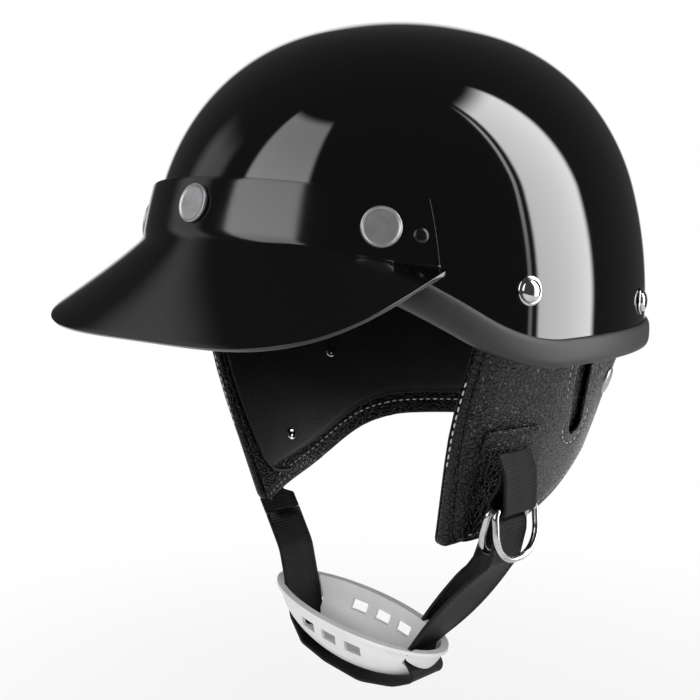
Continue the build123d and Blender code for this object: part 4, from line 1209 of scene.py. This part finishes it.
class HELMET_OT_fittings(bpy.types.Operator):
    """Seats the rivets, washers, snaps and caps"""
    bl_idname = "helmet.fittings"
    bl_label = "Rivets and Snaps"

    def execute(self, context):
        rivets = []
        for place, level in RIVET_PLACES:
            reach = float(meridian(down_to(level, 0), 0)[0])
            rivets += [dome_seat(way * (pi / 2 + asin(place / reach)), level, 0) for way in (1, -1)]
        outer_snaps, inner_snaps, posts = (
            [dome_seat(*place, outset) for place in SNAP_PLACES] for outset in (4.2, 2.2, 0)
        )
        reach = float(meridian(down_to(END_LEVEL, 4.2), 4.2)[0])
        ends = [dome_seat(way * acos(END_PLACE / reach), END_LEVEL, 4.2) for way in (1, -1)]
        for name, section, seats, lift, body, node, slot in (
            ("chrome_rivets", RIVET, rivets, 1.02, "helmet", "shell_rivets", "rivet_chrome"),
            ("rivet_ring_washers", WASHER, rivets, 0.12, "helmet", "rivet_washers", "rivet_chrome"),
            ("rivet_back_burrs", BURR, rivets, -3.43, "helmet", "rivet_burrs", "rivet_chrome"),
            ("satin_snap_caps", PEAK_CAP, outer_snaps, 0.12, "peak", "peak_snap_caps", "snap_steel"),
            ("snap_sockets", SOCKET, inner_snaps, -0.3, "peak", "peak_snap_sockets", "snap_steel"),
            ("shell_snap_posts", STUD, posts, 0.12, "helmet", "shell_snap_studs", "snap_steel"),
            ("peak_end_rivets", KNOB, ends, 0.12, "peak", "peak_rivets", "black_rivet"),
        ):
            seats = [(spot + out * lift, out) for spot, out in seats]
            count = 64 if section is PEAK_CAP else 40
            dress(fittings(name, section, seats, METALS[slot], count), body, [node], slot)
        for side, word in ((1, "left"), (-1, "right")):
            seats = [skirt_seat(48.7, -37.7, -1.0, side, 0.1)]
            piece = fittings(f"{word}_flap_snap_cap", FLAP_CAP, seats, "satin", 56)
            dress(piece, "helmet", [f"{word}_flap_cap"], "snap_steel")
            seats = [skirt_seat(y, z, 13.1, side, 0.1, True) for y, z in ((35.0, -38.0), (-12.0, -80.0))]
            piece = fittings(f"{word}_small_snaps", SMALL_SNAP, seats, "chrome", 32)
            dress(piece, "helmet", [f"{word}_lining_snaps"], "snap_steel")
        return {"FINISHED"}


class HELMET_OT_skirt(bpy.types.Operator):
    """Sews the ear flaps, the nape curtain and the strap patch"""
    bl_idname = "helmet.skirt"
    bl_label = "Leather Skirt"

    def execute(self, context):
        for side, word in ((1, "left"), (-1, "right")):
            ear_flap(side, word)

        turn, level, edges = nape_patch(0, 9, 1.7)
        waves = 0.4 * np.sin(turn * 9) * np.sin(level / 8)
        sewn = 0.5 * groove(least(edges[0], edges[1]), 4.0, 1.2)
        piece = leather_sheet("nape", turn, level, edges, 0, waves, sewn)
        dress(piece, "helmet", ["nape_leather"], "skirt_leather")
        backing("nape", [nape_patch(1.0, 8, 3.0), nape_patch(0.2, 9, 2.2), nape_patch(11.8, 9, 2.4)], 0)
        rows = []
        for margin, depth, inward in ((HEM_ROW, 0.15, 1), (INNER_ROW, 11.5, -1)):
            turn, level, _ = nape_patch(margin, 9, 2.0)
            rows.append((skirt_point(turn[-1], level[-1], depth), inward * skirt_out(turn[-1])))
        seam_row = np.stack([np.full(30, SKIRT_SEAM + 4.0), np.linspace(-22, -66, 30)], -1)
        rows += [skirt_line(seam_row, 0.0, side) for side in (1, -1)]
        dress(stitches("nape_stitches", rows), "helmet")

        # The patch over the webbing's slit, with its edge overlocked above and below.
        front, back, top, foot = -44, -14, -51, -61
        y = np.linspace(front, back, 40)[None, :] + np.zeros((16, 1))
        z = np.linspace(top, foot, 16)[:, None] + 0 * y
        half = 0.75 * round_edge(least(y - front, back - y, top - z, z - foot), 0.8)
        piece = skirt_sheet("strap_patch_sheet", turn_of(y, z), z, -1.9 - half, -1.2 + half, "leather")
        dress(piece, "helmet", ["left_strap_patch"], "skirt_leather")
        rows = []
        for level, zigzag in ((-52.2, -2.6), (-60.4, 1.7)):
            rows.append(skirt_line([(-43 + 0.7 * k, level + (k % 2) * zigzag) for k in range(41)], -2.75, 1))
        dress(stitches("patch_overlock", rows, 0.6, "dark_thread"), "helmet")
        return {"FINISHED"}


class HELMET_OT_strap(bpy.types.Operator):
    """Threads the chin strap, its webs, its rings and the chin cup"""
    bl_idname = "helmet.strap"
    bl_label = "Chin Strap"

    def execute(self, context):
        twist_at = ((FOLD, BEND - 3), cup_dot(0.8, 0.0), context.scene.helmet_strap.strap_twist)
        strap = webbing("chin_strap_webbing", STRAP_ROUTE, STRAP_ROUNDS, turn_at=twist_at)
        dress(strap, "strap", ["chin_strap"], "webbing")
        line = along(rounded(STRAP_ROUTE[9:12], [12], radians(8)), np.linspace(0.03, 0.97, 60))
        way = unit(np.gradient(line, axis=0))
        out = np.stack([way[:, 1], 0 * way[:, 0], -way[:, 0]], -1)
        rows = []
        for across in (-10.2, 10.2):
            points = np.stack([line[:, 0], np.full(60, STRAP_Y + across), line[:, 1]], -1) + out * 0.8
            raised, points = twisted(points + out, *twist_at), twisted(points, *twist_at)
            rows.append((points, raised - points))
        dress(stitches("strap_edge_stitches", rows, 0.75, "dark_thread"), "strap")

        web = webbing("ring_carrier_webbing", RING_ROUTE, RING_ROUNDS)
        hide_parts("ring_webbing")
        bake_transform(web, "helmet", "strap", (0.0945, -0.029, -0.064), (0.0945, -0.029, -0.084))
        slope = (JOIN + HEM_BEND) / 12.0
        hem_route = [(-HEM_TOP, -97.0), (-HEM_BEND, -106.0), (JOIN - slope * 0.3, JOIN_LEVEL + 0.3)]
        web = webbing("hem_carrier_web", hem_route, [12], tab=-110.5)
        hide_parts("hem_web")
        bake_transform(web, "helmet", "strap", (-0.0715, -0.029, -0.101), (-0.0630, -0.029, -0.117))
        dress(d_ring("outer_wire_ring", WEB - 2.7, -4.0), "strap", ["outer_ring"], "ring_metal")
        dress(d_ring("inner_wire_ring", WEB - 6.1, 17.0), "strap", ["inner_ring"], "ring_metal")
        repaint("chin_cup", "cup")
        return {"FINISHED"}


def seen_by_mirrors(tree, rays):
    """1 for the rays of mirror-like and clear surfaces."""
    return combine(tree, "MAXIMUM", rays["Is Glossy Ray"], rays["Is Transmission Ray"])


def paper_floor(colour_of_paper):
    """Matt paper: it keeps a soft shadow, and the camera and mirror-like parts see it as plain white."""
    floor = bpy.data.materials.new("seamless_paper")
    floor.use_nodes = True
    tree = floor.node_tree
    tree.nodes.clear()
    paper = add(tree, "ShaderNodeBsdfDiffuse", {"Color": [*colour_of_paper, 1.0]}).outputs[0]
    white = add(tree, "ShaderNodeEmission", {"Color": (1, 1, 1, 1), "Strength": 1.0}).outputs[0]
    rays = add(tree, "ShaderNodeLightPath").outputs
    seen = combine(tree, "MAXIMUM", rays["Is Camera Ray"], seen_by_mirrors(tree, rays))
    # The paper's own shade counts near the helmet only and runs out to white, so no horizon shows.
    place = add(tree, "ShaderNodeTexCoord").outputs["Object"]
    reach = add(tree, "ShaderNodeVectorMath", {0: place}, operation="LENGTH").outputs["Value"]
    share = product(tree, seen, soft_step(tree, reach, 0.2, 0.55, 0.8, 1.0))
    mix = add(tree, "ShaderNodeMixShader", {0: share, 1: paper, 2: white}).outputs[0]
    add(tree, "ShaderNodeOutputMaterial", {"Surface": mix})
    return floor


# What glossy parts mirror beside the backdrop: soft boxes given as directions, in degrees, so that their
# edges can fade. Each has the azimuths and the heights where it starts, is full, is still full and ends,
# and its strength at its foot and at its head.
SOFT_BOXES = (
    # The tall box: the long curved band on the shell.
    ((117.2, 119.2, 144.0, 147.5), (-24.0, -12.0, 52.0, 62.0), (7.0, 8.5)),
    # The strip: the thin line beside that band.
    ((113.6, 114.4, 115.2, 116.0), (-20.0, -8.0, 48.0, 62.0), (1.6, 4.0)),
    # The brow box: the patch over the forehead and the gleam on the brim.
    ((-30.0, -26.0, 12.0, 16.0), (2.0, 9.0, 60.0, 65.0), (4.2, 2.6)),
    # The far box: a faint shade on the shell's far side.
    ((-80.0, -66.0, -52.0, -44.0), (0.0, 15.0, 30.0, 45.0), (0.6, 0.6)),
)
DARK_GLOW = 0.07
# Lamps for the matt surfaces: azimuth in degrees, height, distance, width and height in metres, radiance.
LAMPS = {
    "key_soft_box": (66.0, 1.2, 1.6, 1.2, 1.2, 2.6),
    "front_soft_box": (24.0, 0.2, 1.8, 1.3, 1.0, 2.6),
    "fill_soft_box": (-25.0, 0.9, 1.8, 1.4, 1.4, 1.3),
}


def studio_world(azimuth):
    """White behind the helmet, and a dark room with soft boxes for what it mirrors."""
    world = bpy.data.worlds.new("studio_world")
    world.use_nodes = True
    tree = world.node_tree
    tree.nodes.clear()
    rays = add(tree, "ShaderNodeLightPath").outputs
    way = add(tree, "ShaderNodeTexCoord").outputs["Generated"]
    behind = {0: way, 1: (-sin(azimuth), cos(azimuth), 0.0)}
    facing = add(tree, "ShaderNodeVectorMath", behind, operation="DOT_PRODUCT").outputs["Value"]
    mirrored = product(tree, seen_by_mirrors(tree, rays), soft_step(tree, facing, 0.90, 0.955))
    shown = combine(tree, "MAXIMUM", rays["Is Camera Ray"], mirrored)
    parts = add(tree, "ShaderNodeSeparateXYZ", {"Vector": way}).outputs
    turn = product(tree, combine(tree, "ARCTAN2", parts[0], product(tree, parts[1], -1.0)), 180 / pi)
    rise = product(tree, combine(tree, "ARCSINE", parts[2]), 180 / pi)
    glow = DARK_GLOW
    for (a0, a1, a2, a3), (e0, e1, e2, e3), strengths in SOFT_BOXES:
        lit = product(
            tree,
            soft_step(tree, turn, a0, a1), soft_step(tree, turn, a2, a3, 1.0, 0.0),
            soft_step(tree, rise, e0, e1), soft_step(tree, rise, e2, e3, 1.0, 0.0),
            soft_step(tree, rise, e1, e2, *strengths),
        )
        glow = combine(tree, "ADD", lit, glow)

    def background(code, strength):
        return add(tree, "ShaderNodeBackground", {"Color": code, "Strength": strength}).outputs[0]

    white = (1, 1, 1, 1)
    room = {0: rays["Is Glossy Ray"], 1: background(colour("#c9cbd0"), 0.62), 2: background(white, glow)}
    room = add(tree, "ShaderNodeMixShader", room).outputs[0]
    mix = add(tree, "ShaderNodeMixShader", {0: shown, 1: room, 2: background(white, 1.0)}).outputs[0]
    add(tree, "ShaderNodeOutputWorld", {"Surface": mix})
    return world


class HELMET_OT_stage(bpy.types.Operator):
    """Sets the floor, the studio light and the camera"""
    bl_idname = "helmet.stage"
    bl_label = "Studio"

    def execute(self, context):
        given, scene = context.scene.helmet_stage, context.scene
        low = (cad_bounds[0][2] - given.floor_drop) * 1000
        disc = [[(r * cos(a), r * sin(a), low) for a in circle(96)] for r in (150, 400, 900)]
        paper = paper_floor(given.floor_colour)
        ground = mesh_of("studio_floor", *rings(disc, (0, 0, low)), paper, closed=False)
        if ground.data.polygons[0].normal.z < 0:
            ground.data.flip_normals()
        scene.world = studio_world(given.azimuth)

        for name, (azimuth, level, distance, wide, tall, radiance) in LAMPS.items():
            lamp = bpy.data.lights.new(name, "AREA")
            lamp.shape, lamp.size, lamp.size_y = "RECTANGLE", wide, tall
            lamp.energy = radiance * pi * wide * tall
            place = placed(name, lamp)
            a = radians(azimuth)
            place.location = (sin(a) * distance, -cos(a) * distance, level)
            place.rotation_euler = (Vector((0, 0, 0.03)) - place.location).to_track_quat("-Z", "Y").to_euler()
            place.visible_glossy, place.visible_camera = False, False

        camera = bpy.data.cameras.new("photo_camera")
        camera.lens, camera.sensor_width = given.lens, 36.0
        camera.clip_start, camera.clip_end = 0.01, 50.0
        view = placed("photo_camera", camera)
        a, e = given.azimuth, given.elevation
        back = Vector((sin(a) * cos(e), -cos(a) * cos(e), sin(e)))
        right = Vector((cos(a), sin(a), 0))
        view.location = right * LOOK_RIGHT + back.cross(right) * LOOK_UP + back * given.distance
        view.rotation_euler = (-back).to_track_quat("-Z", "Y").to_euler()
        scene.camera = view
        scene.view_settings.view_transform = "Standard"
        return {"FINISHED"}


class HELMET_PT_panel(bpy.types.Panel):
    """Builds the helmet piece by piece"""
    bl_idname = "HELMET_PT_panel"
    bl_label = "Half Shell Helmet"
    bl_space_type = "VIEW_3D"
    bl_region_type = "UI"
    bl_category = "Helmet"

    def draw(self, context):
        for group in SETTINGS:
            settings = getattr(context.scene, group)
            box = self.layout.box()
            for key in settings.bl_rna.properties.keys():
                if key not in ("rna_type", "name"):
                    box.prop(settings, key)
        for step in OPERATORS:
            self.layout.operator(step.bl_idname)


OPERATORS = (
    HELMET_OT_shell, HELMET_OT_pads, HELMET_OT_peak, HELMET_OT_fittings, HELMET_OT_skirt, HELMET_OT_strap,
    HELMET_OT_stage,
)
SETTINGS = {
    "helmet_shell": HelmetShellSettings, "helmet_stitch": HelmetStitchSettings,
    "helmet_strap": HelmetStrapSettings, "helmet_stage": HelmetStageSettings,
}


def register():
    for kind in (*SETTINGS.values(), *OPERATORS, HELMET_PT_panel):
        bpy.utils.register_class(kind)
    for key, kind in SETTINGS.items():
        setattr(bpy.types.Scene, key, bpy.props.PointerProperty(type=kind))


def unregister():
    for key in SETTINGS:
        delattr(bpy.types.Scene, key)
    for kind in (HELMET_PT_panel, *reversed(OPERATORS), *SETTINGS.values()):
        bpy.utils.unregister_class(kind)


def main():
    register()
    make_materials()
    for step in OPERATORS:
        group, name = step.bl_idname.split(".")
        getattr(getattr(bpy.ops, group), name)()


if __name__ == "__main__":
    main()
